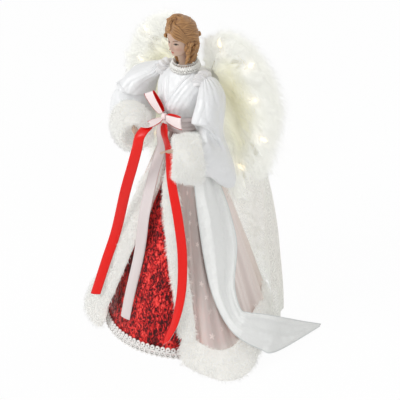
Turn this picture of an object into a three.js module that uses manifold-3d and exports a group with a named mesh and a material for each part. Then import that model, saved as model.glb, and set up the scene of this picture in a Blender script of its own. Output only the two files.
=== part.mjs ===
// Angel tree topper: a robed figure on a hollow cone, with feather wings that carry small lights.
// Millimetres, +Z up. The figure faces -Y and its own left hand is on the +X side.
// The origin is on the axis of the cone, at the plane the topper stands on.
import * as THREE from 'three';
import { mergeVertices } from 'three/addons/utils/BufferGeometryUtils.js';
import loadManifold from 'manifold-3d';

const wasm = await loadManifold();
wasm.setup();

// Overall height, to which the finished figure is brought as a whole, and the gap between neighbours.
const HEIGHT = 406;
const GAP = 0.4;

// Hollow cone that slips over the top of a tree.
const CONE_HEIGHT = 264;
const CONE_BASE_R = 97;
const CONE_TOP_R = 17;
const CONE_WALL = 1.6;
const CONE_RIM = 5;

// Red skirt on the cone and the lace round its hem.
const SKIRT_THICK = 1.0;
const SKIRT_HEM_Z = 4;
const LACE_HEIGHT = 13;
const LACE_THICK = 1.6;
const LACE_SCALLOPS = 36;

// Robe: radius at the waist and at the floor, and how far each front corner spreads.
const ROBE_TOP_Z = CONE_HEIGHT + 1.5;
const ROBE_WAIST_R = CONE_TOP_R + 5.5;
const ROBE_HEM_R = CONE_BASE_R + 10;
const ROBE_SPREAD_LEFT = 50;
const ROBE_SPREAD_RIGHT = 18;
const ROBE_THICK = 1.0;
const ROBE_FOLDS = 13;
const ROBE_FOLD_DEPTH = 4.2;
const OPENING_ANGLE = 35;
const OPENING_TOP_Z = CONE_HEIGHT - 59;

// Fur bands on the front edges and the hem of the robe.
const BAND_WIDTH = 33;
const BAND_THICK = 11;
const HEM_WIDTH = 43;
const HEM_THICK = 11;

// Waist sash and bow.
const SASH_Z0 = ROBE_TOP_Z + 1;
const SASH_Z1 = SASH_Z0 + 18.5;
const SASH_R = 25.4;
const RIBBON_WIDTH = 13;
const RIBBON_THICK = 0.8;
const KNOT = [-5, -30, SASH_Z1 - 1];

// Head: the neck stands on the torso, bowed forward and turned to the figure's right.
const NECK_SINK = 3.16;
const HEAD_BOW = 10;
const HEAD_TURN = -3;
const HAIR_THICK = 4.2;

// Arms: the right arm is held with its elbow out and its hand higher than the left.
const RIGHT_HAND_LIFT = 8;
const WRIST = [37, -48.5];
const RIGHT_SLEEVE_FULL = 1.14;
const RIGHT_MOUTH = 0.8;
const SLEEVE_THICK = 1.2;
const ARM_WIRE_R = 1.5;
const SHOULDER_BALL_R = 2.5;

// Wing bracket on the back, with knuckles that hold a vertical hinge pin for each wing.
const BRACKET_HALF = 9;
const BRACKET_Y = [22.6, 33.6];
const BRACKET_Z = [289, 325];
const KNUCKLE = 3;
const HINGE_X = 11;
const HINGE_PIN_R = 1.2;

// Wings: where the feathers start, depth of each layer and size of the lights.
const WING_ROOT_X = 14.5;
const WING_CARD_Y = [31, 32.4];
const WING_QUILL_Y = [27, 30.6];
const MARABOU_R = 8.8;
const MARABOU_Y = 35.4;
const LIGHT_Y = 23.6;
const LIGHT_WIRE_R = 0.8;
const SOCKET_R = 2.4;
const BULB_R = 2.5;
const BULB_LENGTH = 9.5;

const rad = THREE.MathUtils.degToRad;
const lerp = THREE.MathUtils.lerp;
const clamp = THREE.MathUtils.clamp;
const vec = (x, y, z) => new THREE.Vector3(x, y, z);
// The tables below are measured on a figure whose cone is 264 high and 97 in radius. When the cone changes,
// level moves a height above the hem with it, and widen moves a radius out with it toward the floor.
const level = (z) => z + (CONE_HEIGHT - 264) * clamp((z - 60) / 204, 0, 1);
const widen = (r, z) => r + (CONE_BASE_R - 97) * clamp(1 - z / 264, 0, 1);
const spread = (a, centre, before, after) =>
  Math.exp(-(((a - centre) / (a < centre ? before : after)) ** 2));

// A point at radius r and height z; the angle runs from the front toward the figure's left.
const polar = (r, angle, z) => vec(r * Math.sin(rad(angle)), -r * Math.cos(rad(angle)), z);

// A value read from a list of [position, value] pairs, joined smoothly.
function along(pairs, t) {
  let i = 0;
  while (i < pairs.length - 2 && t > pairs[i + 1][0]) i += 1;
  const [t0, v0] = pairs[i];
  const [t1, v1] = pairs[i + 1];
  return lerp(v0, v1, THREE.MathUtils.smoothstep(t, t0, t1));
}

// Closed solid from points and triangles, turned so that its faces point outward.
function solid(points, faces) {
  let volume = 0;
  for (const [i, j, k] of faces) volume += points[i].dot(points[j].clone().cross(points[k]));
  const turned = volume < 0 ? faces.map(([i, j, k]) => [i, k, j]) : faces;
  const geometry = new THREE.BufferGeometry().setFromPoints(points);
  geometry.setIndex(turned.flat());
  geometry.computeVertexNormals();
  return geometry;
}

// Rings of points joined into a body; an open run of rings is capped at both ends.
function loft(rings, closed = false) {
  const n = rings[0].length;
  const count = rings.length;
  const points = rings.flat();
  const faces = [];
  for (let i = 0; i < (closed ? count : count - 1); i += 1) {
    for (let j = 0; j < n; j += 1) {
      const a = i * n + j;
      const b = i * n + ((j + 1) % n);
      const c = ((i + 1) % count) * n + ((j + 1) % n);
      const d = ((i + 1) % count) * n + j;
      faces.push([a, b, c], [a, c, d]);
    }
  }
  if (!closed) {
    for (const i of [0, count - 1]) {
      const centre = rings[i].reduce((sum, p) => sum.add(p), vec(0, 0, 0)).divideScalar(n);
      const id = points.push(centre) - 1;
      for (let j = 0; j < n; j += 1) {
        const a = i * n + j;
        const b = i * n + ((j + 1) % n);
        faces.push(i === 0 ? [id, b, a] : [id, a, b]);
      }
    }
  }
  return solid(points, faces);
}

// Thin shell between two surfaces of u and v; wrap closes it in the u direction.
function skin(nu, nv, outer, inner, wrap) {
  const cols = wrap ? nu : nu + 1;
  const points = [];
  for (const side of [outer, inner]) {
    for (let i = 0; i < cols; i += 1) {
      for (let j = 0; j <= nv; j += 1) points.push(side(i / nu, j / nv));
    }
  }
  const o = (i, j) => (i % cols) * (nv + 1) + j;
  const n = (i, j) => cols * (nv + 1) + o(i, j);
  const faces = [];
  const quad = (a, b, c, d) => faces.push([a, b, c], [a, c, d]);
  for (let i = 0; i < nu; i += 1) {
    for (let j = 0; j < nv; j += 1) {
      quad(o(i, j), o(i + 1, j), o(i + 1, j + 1), o(i, j + 1));
      quad(n(i, j), n(i, j + 1), n(i + 1, j + 1), n(i + 1, j));
    }
    quad(o(i + 1, 0), o(i, 0), n(i, 0), n(i + 1, 0));
    quad(o(i, nv), o(i + 1, nv), n(i + 1, nv), n(i, nv));
  }
  for (let j = 0; j < nv && !wrap; j += 1) {
    quad(o(0, j), o(0, j + 1), n(0, j + 1), n(0, j));
    quad(o(nu, j + 1), o(nu, j), n(nu, j), n(nu, j + 1));
  }
  return solid(points, faces);
}

// Ring whose half height differs above and below its centre.
function ring(centre, up, side, rise, fall, half, n) {
  return Array.from({ length: n }, (_, k) => {
    const c = Math.cos((2 * Math.PI * k) / n);
    const s = Math.sin((2 * Math.PI * k) / n);
    return centre.clone().addScaledVector(up, c * (c > 0 ? rise : fall)).addScaledVector(side, s * half);
  });
}

// Level ring, an ellipse of half sizes rx and ry round (cx, cy).
const levelRing = (cx, cy, z, rx, ry, n) =>
  ring(vec(cx, cy, z), vec(1, 0, 0), vec(0, 1, 0), rx, rx, ry, n);

// Body turned about the Z axis from a closed outline of [radius, height] points.
function turned(outline, n) {
  return loft(Array.from({ length: n }, (_, k) =>
    outline.map(([r, z]) => polar(r, (360 * k) / n, z))), true);
}

// Round bar along a smooth path; the radius may change from end to end.
function bar(path, radius, sides, steps) {
  const curve = new THREE.CatmullRomCurve3(path.map((p) => vec(...p)), false, 'centripetal');
  const frames = curve.computeFrenetFrames(steps, false);
  return loft(Array.from({ length: steps + 1 }, (_, k) => {
    const r = typeof radius === 'function' ? radius(k / steps) : radius;
    return ring(curve.getPointAt(k / steps), frames.normals[k], frames.binormals[k], r, r, r, sides);
  }));
}

// Flat band between two edges, each a function of t, with square edges.
function strip(steps, left, right, thick) {
  const rings = [];
  for (let k = 0; k <= steps; k += 1) {
    const t = k / steps;
    const a = left(t);
    const b = right(t);
    const step = left(Math.min(t + 0.01, 1)).add(right(Math.min(t + 0.01, 1)))
      .sub(left(Math.max(t - 0.01, 0))).sub(right(Math.max(t - 0.01, 0)));
    const normal = step.cross(b.clone().sub(a)).normalize().multiplyScalar(thick / 2);
    rings.push([a.clone().add(normal), b.clone().add(normal), b.clone().sub(normal), a.clone().sub(normal)]);
  }
  return loft(rings);
}

// Smooth curve through points, read by a parameter from 0 to 1.
function curveThrough(points) {
  const curve = new THREE.CatmullRomCurve3(points, false, 'centripetal');
  return (t) => curve.getPoint(t);
}

// Joins and cuts.
const toManifold = (g) => new wasm.Manifold(new wasm.Mesh({
  numProp: 3,
  vertProperties: new Float32Array(g.attributes.position.array),
  triVerts: new Uint32Array(g.index.array),
}));
function fromManifold(body) {
  const mesh = body.getMesh();
  const geometry = new THREE.BufferGeometry();
  geometry.setAttribute('position', new THREE.BufferAttribute(mesh.vertProperties, 3));
  geometry.setIndex(new THREE.BufferAttribute(mesh.triVerts, 1));
  geometry.computeVertexNormals();
  return geometry;
}
const join = (list) => fromManifold(wasm.Manifold.union(list.map(toManifold)));
const cut = (g, tool) => fromManifold(toManifold(g).subtract(toManifold(tool)));

// The same solid on the figure's right.
function mirrored(geometry) {
  const copy = geometry.clone().scale(-1, 1, 1);
  const index = Array.from(copy.index.array);
  for (let i = 0; i < index.length; i += 3) [index[i + 1], index[i + 2]] = [index[i + 2], index[i + 1]];
  copy.setIndex(index);
  copy.computeVertexNormals();
  return copy;
}

const topper = new THREE.Group();
topper.name = 'angel_tree_topper';
function add(name, geometry, color, roughness, metalness = 0) {
  const material = new THREE.MeshStandardMaterial({ color, roughness, metalness });
  const mesh = new THREE.Mesh(geometry, material);
  mesh.name = name;
  topper.add(mesh);
  return mesh;
}

const SATIN = 0xf2f4f5;
const FUR = 0xe8e6e2;
const ORGANZA = 0xe6dedb;
const RED = 0xa81118;
const RIBBON_RED = 0xcf2222;
const RIBBON_PALE = 0xefd9d6;
const SKIN = 0xd9c1b5;
const FEATHER = 0xe6e5da;

// Support cone: a thin shell with a flat rim turned inward at the foot.
const coneR = (z) => lerp(CONE_BASE_R, CONE_TOP_R, z / CONE_HEIGHT);
add('support_cone', turned([
  [CONE_BASE_R, 0], [CONE_TOP_R, CONE_HEIGHT], [CONE_TOP_R - CONE_WALL, CONE_HEIGHT],
  [coneR(CONE_WALL) - CONE_WALL * 1.1, CONE_WALL],
  [CONE_BASE_R - CONE_RIM, CONE_WALL], [CONE_BASE_R - CONE_RIM, 0],
], 44), 0xb7a78c, 0.9);

// Bodice outline: height, half width, half depth and depth of the centre.
const BODICE = [
  [267.5, 20, 18.6, 0], [284, 21, 19.8, -1], [300, 27, 23.6, -4], [313, 30, 23, -3.4],
  [325, 30, 19.4, -1], [332, 24, 16, 0.4], [337.4, 15.4, 13.4, 1.5],
].map(([z, ...sizes]) => [level(z), ...sizes]);
const bodiceTop = BODICE[BODICE.length - 1][0];
const BODICE_STEPS = 8;
const bodiceRing = (step, inset) => {
  const z = lerp(BODICE[0][0], bodiceTop, step / BODICE_STEPS);
  const read = (k) => along(BODICE.map((row) => [row[0], row[k]]), z);
  return levelRing(0, read(3), z, read(1) - inset, read(2) - inset, 24);
};
const LEAD_Z = CONE_HEIGHT + 22;
const backHole = loft([0, 36].map((d) =>
  ring(vec(0, 4 + d, LEAD_Z - 1 + d), vec(0, -0.7, 0.7), vec(1, 0, 0), 3.2, 3.2, 3.2, 12)));

// Torso: stands on the rim of the cone with a spigot inside it, bored for the light lead.
const torsoTop = bodiceRing(7, 1.8).map((p, k) => p.lerp(bodiceRing(8, 1.8)[k], 0.68));
const torsoSolid = loft([
  ...[CONE_HEIGHT - 19, CONE_HEIGHT - GAP].map((z) => levelRing(0, 0, z, 12.6, 12.6, 24)),
  levelRing(0, 0, CONE_HEIGHT + GAP, 12.7, 12.7, 24),
  levelRing(0, 0, CONE_HEIGHT + GAP, 17.6, 16.6, 24),
  ...[1, 2, 3, 4, 5, 6, 7].map((step) => bodiceRing(step, 1.8)),
  torsoTop,
]);
const torsoBore = loft([CONE_HEIGHT - 24, LEAD_Z + 3.2].map((z) => levelRing(0, 5, z, 3.2, 3.2, 12)));
add('torso', cut(cut(torsoSolid, torsoBore), backHole), 0xd8d2c4, 0.8);

// Bodice: the satin front and back of the gown.
const bodiceAt = (inset) => (u, v) => bodiceRing(v * BODICE_STEPS, inset)[Math.round(u * 24) % 24];
add('bodice', cut(skin(24, BODICE_STEPS, bodiceAt(0), bodiceAt(1.2), true), backHole), SATIN, 0.35);

// Waist sash: a folded band drawn close round the bodice.
const sashInner = along(BODICE.map((row) => [row[0], row[1]]), SASH_Z1) + GAP;
add('waist_sash', turned([
  [SASH_R - 2.2, SASH_Z0], [SASH_R, SASH_Z0 + 2], [SASH_R - 1.2, (SASH_Z0 + SASH_Z1) / 2],
  [SASH_R - 0.2, SASH_Z1 - 2], [SASH_R - 1.6, SASH_Z1], [sashInner, SASH_Z1], [sashInner, SASH_Z0],
], 28), 0xe2c3c0, 0.5);

// Red skirt: a skin laid on the cone.
const skirtR = (z) => coneR(z) + GAP * 1.1 + SKIRT_THICK;
add('red_skirt', turned([
  [skirtR(SKIRT_HEM_Z), SKIRT_HEM_Z], [skirtR(CONE_HEIGHT), CONE_HEIGHT],
  [skirtR(CONE_HEIGHT) - SKIRT_THICK, CONE_HEIGHT], [skirtR(SKIRT_HEM_Z) - SKIRT_THICK, SKIRT_HEM_Z],
], 44), RED, 0.4, 0.5);

// Lace edging: a scalloped ring round the hem of the skirt, standing on the floor.
const laceFoot = (u) => 2.2 * (0.5 - 0.5 * Math.cos(2 * Math.PI * LACE_SCALLOPS * u));
const laceAt = (offset) => (u, v) => {
  const z = lerp(laceFoot(u), LACE_HEIGHT, v);
  return polar(skirtR(z) + offset, 360 * u, z);
};
add('skirt_lace', skin(LACE_SCALLOPS * 2, 1, laceAt(GAP + LACE_THICK), laceAt(GAP), true), 0xded8d4, 0.7);

// Robe surface: a cone whose front corners sweep out over the floor.
const leftSpread = (a) => ROBE_SPREAD_LEFT * spread(a, 61, 17, 24);
const rightSpread = (a) => ROBE_SPREAD_RIGHT * spread(a, -60, 45, 25);
const hemR = (a) => ROBE_HEM_R + leftSpread(a) + rightSpread(a);
const robeR = (z, a) => {
  const t = 1 - z / ROBE_TOP_Z;
  return lerp(ROBE_WAIST_R, ROBE_HEM_R, t) + leftSpread(a) * t ** 5 + rightSpread(a) * t;
};
const openAngle = (z) => (z < OPENING_TOP_Z ? OPENING_ANGLE * (1 - (z / OPENING_TOP_Z) ** 1.85) : 0);
const arc = (width, r) => THREE.MathUtils.radToDeg(width / r);

// Hem band: an oval section that follows the slope of the robe and rests on the floor.
function hemSection(a) {
  const run = hemR(a) - robeR(30, a);
  const slope = Math.atan2(30, run);
  const half = HEM_WIDTH / 2;
  const cz = Math.hypot(half * Math.sin(slope), (HEM_THICK / 2) * Math.cos(slope));
  return { slope, half, cz, cr: hemR(a) - half * Math.cos(slope) };
}
const hemTop = (a) => {
  const s = hemSection(a);
  return s.cz + Math.hypot(s.half * Math.sin(s.slope), (HEM_THICK / 2) * Math.cos(s.slope));
};
const hemStart = OPENING_ANGLE - 1;
add('hem_trim', loft(Array.from({ length: 47 }, (_, i) => {
  const a = lerp(hemStart, 360 - hemStart, i / 46);
  const b = a > 180 ? a - 360 : a;
  const { slope, half, cz, cr } = hemSection(b);
  const end = Math.min(1, 0.55 + 0.45 * Math.min(i, 46 - i) / 1.5);
  return Array.from({ length: 10 }, (_, k) => {
    const c = half * end * Math.cos((2 * Math.PI * k) / 10);
    const s = (HEM_THICK / 2) * end * Math.sin((2 * Math.PI * k) / 10);
    return polar(cr - c * Math.cos(slope) + s * Math.sin(slope), a,
      cz + c * Math.sin(slope) + s * Math.cos(slope));
  });
})), FUR, 0.95);

// Front bands: oval sections that run from the waist to the hem beside the opening.
const bandThick = (z) => BAND_THICK * clamp((ROBE_TOP_Z - z) / 60, 0.32, 1);
const bandWidth = (z) => BAND_WIDTH * clamp((ROBE_TOP_Z - z) / 70, 0.5, 1);
const bandR = (z, a) => robeR(z, a) + 1.5;
const bandOuterR = (z, a) => bandR(z, a) + bandThick(z) / 2;
const bandFoot = Math.max(hemTop(36), hemTop(52), hemTop(-36), hemTop(-52)) + GAP;
function frontBand(sign) {
  const rings = [];
  for (let i = 0; i <= 15; i += 1) {
    const z = lerp(ROBE_TOP_Z - GAP, bandFoot, i / 15);
    const start = openAngle(z) + arc(0.3, bandR(z, 0));
    const width = arc(bandWidth(z), robeR(z, sign * start));
    rings.push(Array.from({ length: 12 }, (_, k) => {
      const c = Math.cos((2 * Math.PI * k) / 12);
      const s = Math.sin((2 * Math.PI * k) / 12);
      const a = sign * (start + (width / 2) * (1 - c));
      return polar(bandR(z, a) + (bandThick(z) / 2) * s, a, z);
    }));
  }
  return loft(rings);
}
add('left_front_trim', frontBand(1), FUR, 0.95);
add('right_front_trim', frontBand(-1), FUR, 0.95);

// Robe: folded organza from one front band round the back to the other.
const robeEdge = (z, sign) => {
  const start = openAngle(z) + arc(0.3, bandR(z, 0));
  return start + arc(bandWidth(z), robeR(z, sign * start)) + arc(0.8, robeR(z, sign * 40));
};
const fold = (a, t) => ROBE_FOLD_DEPTH * t * (0.35 + 0.65 * t)
  * Math.cos(rad(a * ROBE_FOLDS + 40 * Math.sin(rad(2 * a))));
const robeAt = (offset) => (u, v) => {
  let z = lerp(ROBE_TOP_Z - GAP, 50, v);
  const place = () => lerp(robeEdge(z, 1), 360 - robeEdge(z, -1), u);
  const signed = () => (place() > 180 ? place() - 360 : place());
  z = lerp(ROBE_TOP_Z - GAP, hemTop(signed()) + GAP, v);
  const a = signed();
  const t = 1 - z / ROBE_TOP_Z;
  const settle = clamp((hemTop(a) + 30 - z) / 30, 0, 1);
  return polar(robeR(z, a) + fold(a, t) * (1 - 0.6 * settle) + offset, a, z);
};
add('robe', skin(60, 6, robeAt(ROBE_THICK), robeAt(0), false), ORGANZA, 0.6);

// Lace train: hangs behind the wings and spreads round the back of the hem.
const TRAIN = [
  [4, 10, 110], [40, 17, 104.5], [75, 24, 98], [112, 30, 90], [160, 36, 78], [193, 38, 69],
  [230, 38, 52], [262, 37, 34], [290, 34, 15], [302, 30, 8],
].map(([z, depth, r]) => [level(z), depth, widen(r, z)]);
const trainAt = (offset) => (u, v) => {
  const z = lerp(TRAIN[TRAIN.length - 1][0], TRAIN[0][0], v);
  const row = (k) => along(TRAIN.map((r) => [r[0], r[k]]), z);
  const [low, high] = [120, 195].map(level);
  const from = along([[low, 108], [high, 120]], clamp(z, low, high));
  const a = lerp(from, 360 - from, u);
  const wave = 2.6 * (1 - z / 330) * (1 + Math.cos(rad(9 * 120 * (u - 0.5) * 3)));
  const p = polar(row(2) + wave + offset, a, z);
  return p.add(vec(0, row(1), 0));
};
add('lace_train', skin(36, 6, trainAt(0.9), trainAt(0), false), 0xdfe0d6, 0.7);

// Satin stole: hangs at the figure's left and turns out into a tail over the hem.
const STOLE = [
  [[27.2, 54, 269], [27.2, 92, 269]], [[36.5, 54, 231], [36.5, 95, 231]], [[48.5, 54, 199], [49.5, 96, 200]],
  [[61, 55, 166], [62.5, 97, 166]], [[74, 57, 126], [76, 93, 128]], [[90, 60, 86], [90, 80, 88]],
  [[110, 64, 58], [105, 78, 62]], [[127, 69, 40], [112, 82, 56]], [[139, 79, 21], [121, 93, 46]],
  [[148, 86.4, 13], [149, 112, 18]], [[167.5, 118.2, 2.2], [168.5, 119.4, 3.4]],
];
const stoleEdge = (k) => curveThrough(STOLE.map((row) => {
  const [r, a, z] = row[k];
  return polar(widen(r, z), a, level(z));
}));
const stoleLeft = stoleEdge(0);
const stoleRight = stoleEdge(1);
const stoleAt = (offset) => (u, v) => {
  const a = stoleLeft(u);
  const b = stoleRight(u);
  const p = a.clone().lerp(b, v);
  const step = stoleLeft(Math.min(u + 0.01, 1)).sub(stoleLeft(Math.max(u - 0.01, 0)))
    .add(stoleRight(Math.min(u + 0.01, 1))).sub(stoleRight(Math.max(u - 0.01, 0)));
  const normal = step.cross(b.clone().sub(a)).normalize();
  if (normal.x < 0) normal.negate();
  const sag = 3.2 * Math.sin(Math.PI * v) * Math.min(1, 6 * u) * clamp((0.97 - u) * 8, 0, 1);
  return p.addScaledVector(normal, sag + offset);
};
add('satin_stole', skin(30, 4, stoleAt(1.2), stoleAt(0), false), SATIN, 0.35);

// Ribbon tails: each is given by angle, radius and height along its middle.
function tail(points, width, facing) {
  const middle = curveThrough(points.map((p) => polar(p[1], p[0], p[2])));
  const edge = (sign) => (t) => {
    const p = middle(t);
    const across = facing === undefined ? vec(-p.y, p.x, 0).normalize() : polar(1, facing + 90, 0);
    return p.addScaledVector(across, (sign * width * Math.min(1, 0.55 + 2 * t)) / 2);
  };
  return strip(22, edge(-1), edge(1), RIBBON_THICK);
}
const free = (a, r, z) => [a, widen(r, z), level(z)];
const onBand = (a, z, lift) => [a, bandOuterR(level(z), a) + lift, level(z)];
add('right_ribbon_tail', tail([
  free(-14, 34.8, 279.5), free(-9.5, 42, 273), free(-5.5, 54, 261), free(-8, 60, 249), free(-17, 64, 235),
  free(-29, 66, 212), free(-34, 71, 180), onBand(-36, 130, 6), onBand(-36, 90, 7), onBand(-36, 46, 8)],
RIBBON_WIDTH, 8), RIBBON_RED, 0.3);
add('left_ribbon_tail', tail([
  free(-2, 33.8, 279.5), free(1.5, 37.5, 267),
  onBand(9.5, 246, 2.6), onBand(22, 214, 2.6), onBand(33, 172, 2.4),
  onBand(37.5, 132, 2.4), onBand(37, 90, 2.4), onBand(33, 56, 3), free(28, 108, 34), free(26, 106.5, 20)],
RIBBON_WIDTH * 0.85), RIBBON_RED, 0.3);
add('middle_ribbon_tail', tail([
  free(-11, 32.4, 277.4), free(-11.5, 35.5, 264), onBand(-12, 246, 2.2), onBand(-11.5, 214, 2.2),
  free(-10, 62, 168), free(-11, 66, 138), free(-12.5, 70.5, 108), free(-13, 84, 60), free(-12.5, 92, 30)],
RIBBON_WIDTH * 0.9), RIBBON_PALE, 0.3);

// Bow: a knot and two loops of the same ribbon.
const knot = vec(...KNOT);
add('bow_knot', loft([-1, -0.75, -0.3, 0.3, 0.75, 1].map((k) => {
  const size = Math.max(0.35, Math.sqrt(1 - k * k * 0.9));
  return levelRing(KNOT[0], KNOT[1], KNOT[2] + 6 * k, 4.6 * size, 3.8 * size, 12);
})), RIBBON_PALE, 0.3);
function bowLoop(tip, from, height) {
  const axis = vec(...tip).sub(knot);
  const length = axis.length();
  axis.normalize();
  const out = vec(0, -1, 0).addScaledVector(axis, axis.y).normalize();
  const across = axis.clone().cross(out);
  const path = (t) => knot.clone()
    .addScaledVector(axis, lerp(from, length, 0.5 - 0.5 * Math.cos(2 * Math.PI * t)))
    .addScaledVector(out, height * Math.sin(2 * Math.PI * t) + 1.1 * (1 - 2 * t) + 0.4);
  const half = (t) => (RIBBON_WIDTH / 2) * lerp(0.45, 1.08, Math.sin(Math.PI * t) ** 0.7);
  return strip(26, (t) => path(t).addScaledVector(across, -half(t)),
    (t) => path(t).addScaledVector(across, half(t)),
    RIBBON_THICK);
}
add('right_bow_loop', bowLoop([-21, -37, KNOT[2] + 24], 6.6, 4.6), RIBBON_PALE, 0.3);
add('left_bow_loop', bowLoop([24, -36.5, KNOT[2] + 7], 5.8, 4.6), RIBBON_PALE, 0.3);

// Head: neck, chin, face and crown as one casting. Rows are height, centre depth, half width and half depth.
const HEAD = [
  [1.8, 1, 7, 7], [9, 1, 6.6, 6.8], [20, 0.4, 6.6, 7], [24.6, -0.6, 7, 7.8], [25.6, -4.2, 6.6, 9.6],
  [28, -3.6, 9, 11.2], [33, -2.4, 11.3, 12.7], [36, -1.8, 12.2, 13.5], [39, -1.3, 12.9, 14.2],
  [45, -0.3, 13.6, 15.1], [52, 0.3, 13.6, 15.4], [58, 0.5, 12, 13.6], [62, 0.5, 9, 10.4], [64.6, 0.5, 5, 6],
];
function placeHead(geometry) {
  return geometry.rotateX(rad(HEAD_BOW)).rotateZ(rad(HEAD_TURN)).translate(0, 2, bodiceTop - NECK_SINK);
}
add('head', placeHead(loft(HEAD.map(([z, cy, rx, ry]) =>
  Array.from({ length: 28 }, (_, k) => {
    const a = (360 * k) / 28;
    const b = a > 180 ? a - 360 : a;
    const nose = 2.6 * Math.exp(-(((z - 37.5) / 3) ** 2)) * Math.exp(-((b / 11) ** 2));
    return vec(rx * Math.sin(rad(a)), cy - ry * Math.cos(rad(a)) - nose, z);
  })))), SKIN, 0.45);

// Hair: a moulded cap with waves, open round the face and the neck.
const hairAt = (grow) => (u, v) => {
  const turn = 360 * u;
  const up = Math.cos(rad(turn));
  const from = up > 0 ? lerp(74, 70, up) : lerp(74, 90, -up);
  const away = lerp(from, 177, v);
  const face = vec(0, -Math.cos(rad(35)), -Math.sin(rad(35)));
  const crown = vec(0, -Math.sin(rad(35)), Math.cos(rad(35)));
  const d = face.multiplyScalar(Math.cos(rad(away)))
    .addScaledVector(crown, Math.sin(rad(away)) * up)
    .addScaledVector(vec(1, 0, 0), Math.sin(rad(away)) * Math.sin(rad(turn)));
  const r = 1 / Math.hypot(d.x / 15.6, d.y / 17.3, d.z / 20.9);
  const wave = 0.9 * Math.cos(rad(turn * 7)) * Math.sin(Math.PI * v) + 0.8 * Math.cos(3 * Math.PI * v + up);
  d.multiplyScalar(r + grow * (HAIR_THICK + wave));
  if (d.z < 0 && d.y > 0) d.z *= 1 + 0.75 * Math.min(1, d.y / 8);
  return d.add(vec(0, 0.5, 46));
};
const hair = placeHead(skin(28, 8, hairAt(1), hairAt(0), true));
add('hair', hair, 0xa47a4e, 0.55);

// Collar braid round the neck.
add('collar_braid', loft(Array.from({ length: 22 }, (_, k) => {
  const a = (360 * k) / 22;
  return Array.from({ length: 8 }, (_, j) => {
    const b = (2 * Math.PI * j) / 8;
    return polar(14.2 + 3.1 * Math.cos(b), a, bodiceTop + 4.8 + 3.6 * Math.sin(b) - 1.2 * Math.cos(rad(a)))
      .add(vec(0, 1.5, 0));
  });
}), true), 0xd9dadc, 0.35, 0.3);

// Left sleeve: rows are centre, direction of its upper side, direction of its outer side,
// how far it reaches above, below and to the side, and how far the right one is moved out and up.
const SLEEVE = [
  [[33, -1, 335.5], [0, -1, 0], [0.8, 0, 0.6], 6, 6, 3, 0, 0],
  [[37.4, -2, 329], [0, -1, 0], [0.85, 0, 0.52], 15, 14, 8.6, -1.1, 0],
  [[44.5, -6, 316], [0, -1, 0], [0.93, 0, 0.36], 23, 19, 14, 8, 3],
  [[46.5, -10, 298], [0, -1, 0], [0.96, 0, 0.28], 28, 20, 16, 13, 7],
  [[48, -12, 278], [0, -0.82, 0.57], [0.98, -0.1, 0.2], 26, 20, 17, 15, 14],
  [[50.5, -11, 259], [-0.22, -0.36, 0.9], [0.97, -0.2, 0], 31, 62, 18, 13, 19],
  [[53, -26, 255], [-0.05, -0.1, 0.99], [0.88, -0.48, 0], 27, 30, 19, 7, 17],
  [[47, -37, 254], [0, 0, 1], [0.78, -0.62, 0], 20, 23, 18.5, 3, 12],
  [[39, -46, 255], [0, 0.05, 1], [0.7, -0.71, 0], 17.5, 21, 19, 0, 9],
  [[32.5, -52, 256], [0, 0.08, 1], [0.66, -0.75, 0], 18, 21, 19, 0, 8],
];
const SLEEVE_SIDES = 18;
function sleeveRing(t, inset, right) {
  const s = t * (SLEEVE.length - 1);
  const i = Math.min(Math.floor(s), SLEEVE.length - 2);
  const mix = (pick) => {
    const at = (k) => pick(SLEEVE[clamp(k, 0, SLEEVE.length - 1)]);
    const [p0, p1, p2, p3] = [at(i - 1), at(i), at(i + 1), at(i + 2)];
    const f = s - i;
    return p1 + 0.5 * f * (p2 - p0 + f * (2 * p0 - 5 * p1 + 4 * p2 - p3 + f * (3 * (p1 - p2) + p3 - p0)));
  };
  const centre = vec(...[0, 1, 2].map((k) => mix((row) => row[0][k])));
  centre.z = level(centre.z);
  if (right) centre.add(vec(mix((r) => r[6]), 0, mix((r) => r[7])));
  const up = vec(...[0, 1, 2].map((k) => mix((row) => row[1][k]))).normalize();
  const side = vec(...[0, 1, 2].map((k) => mix((row) => row[2][k]))).normalize();
  const puff = lerp(1, RIGHT_SLEEVE_FULL, Math.sin(Math.PI * Math.min(1, t / 0.8)));
  const full = right ? puff * lerp(1, RIGHT_MOUTH, clamp((t - 0.65) / 0.25, 0, 1)) : 1;
  const reach = [3, 4, 5].map((k) => mix((r) => r[k]) * full - inset);
  return ring(centre, up, side, ...reach, SLEEVE_SIDES);
}
function sleeve(right) {
  const at = (inset) => (u, v) => sleeveRing(v, inset, right)[Math.round(u * SLEEVE_SIDES) % SLEEVE_SIDES];
  return skin(SLEEVE_SIDES, 11, at(0), at(SLEEVE_THICK), true);
}

// Cuff: a deep fur band round the mouth of the sleeve.
function cuff(right) {
  return loft(Array.from({ length: SLEEVE_SIDES }, (_, k) =>
    Array.from({ length: 10 }, (_, j) => {
      const c = Math.cos((2 * Math.PI * j) / 10);
      const s = Math.sin((2 * Math.PI * j) / 10);
      const here = sleeveRing(lerp(0.74, 1, 0.5 + 0.5 * c), 0, right);
      const middle = here.reduce((sum, p) => sum.add(p), vec(0, 0, 0)).divideScalar(SLEEVE_SIDES);
      const away = here[k].clone().sub(middle).normalize();
      const forward = vec(-0.75, -0.65, 0.05).multiplyScalar(c > 0 ? 5 * c : 0);
      return here[k].clone().addScaledVector(away, 5.2 + 4.4 * s).add(forward);
    })), true);
}

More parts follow.
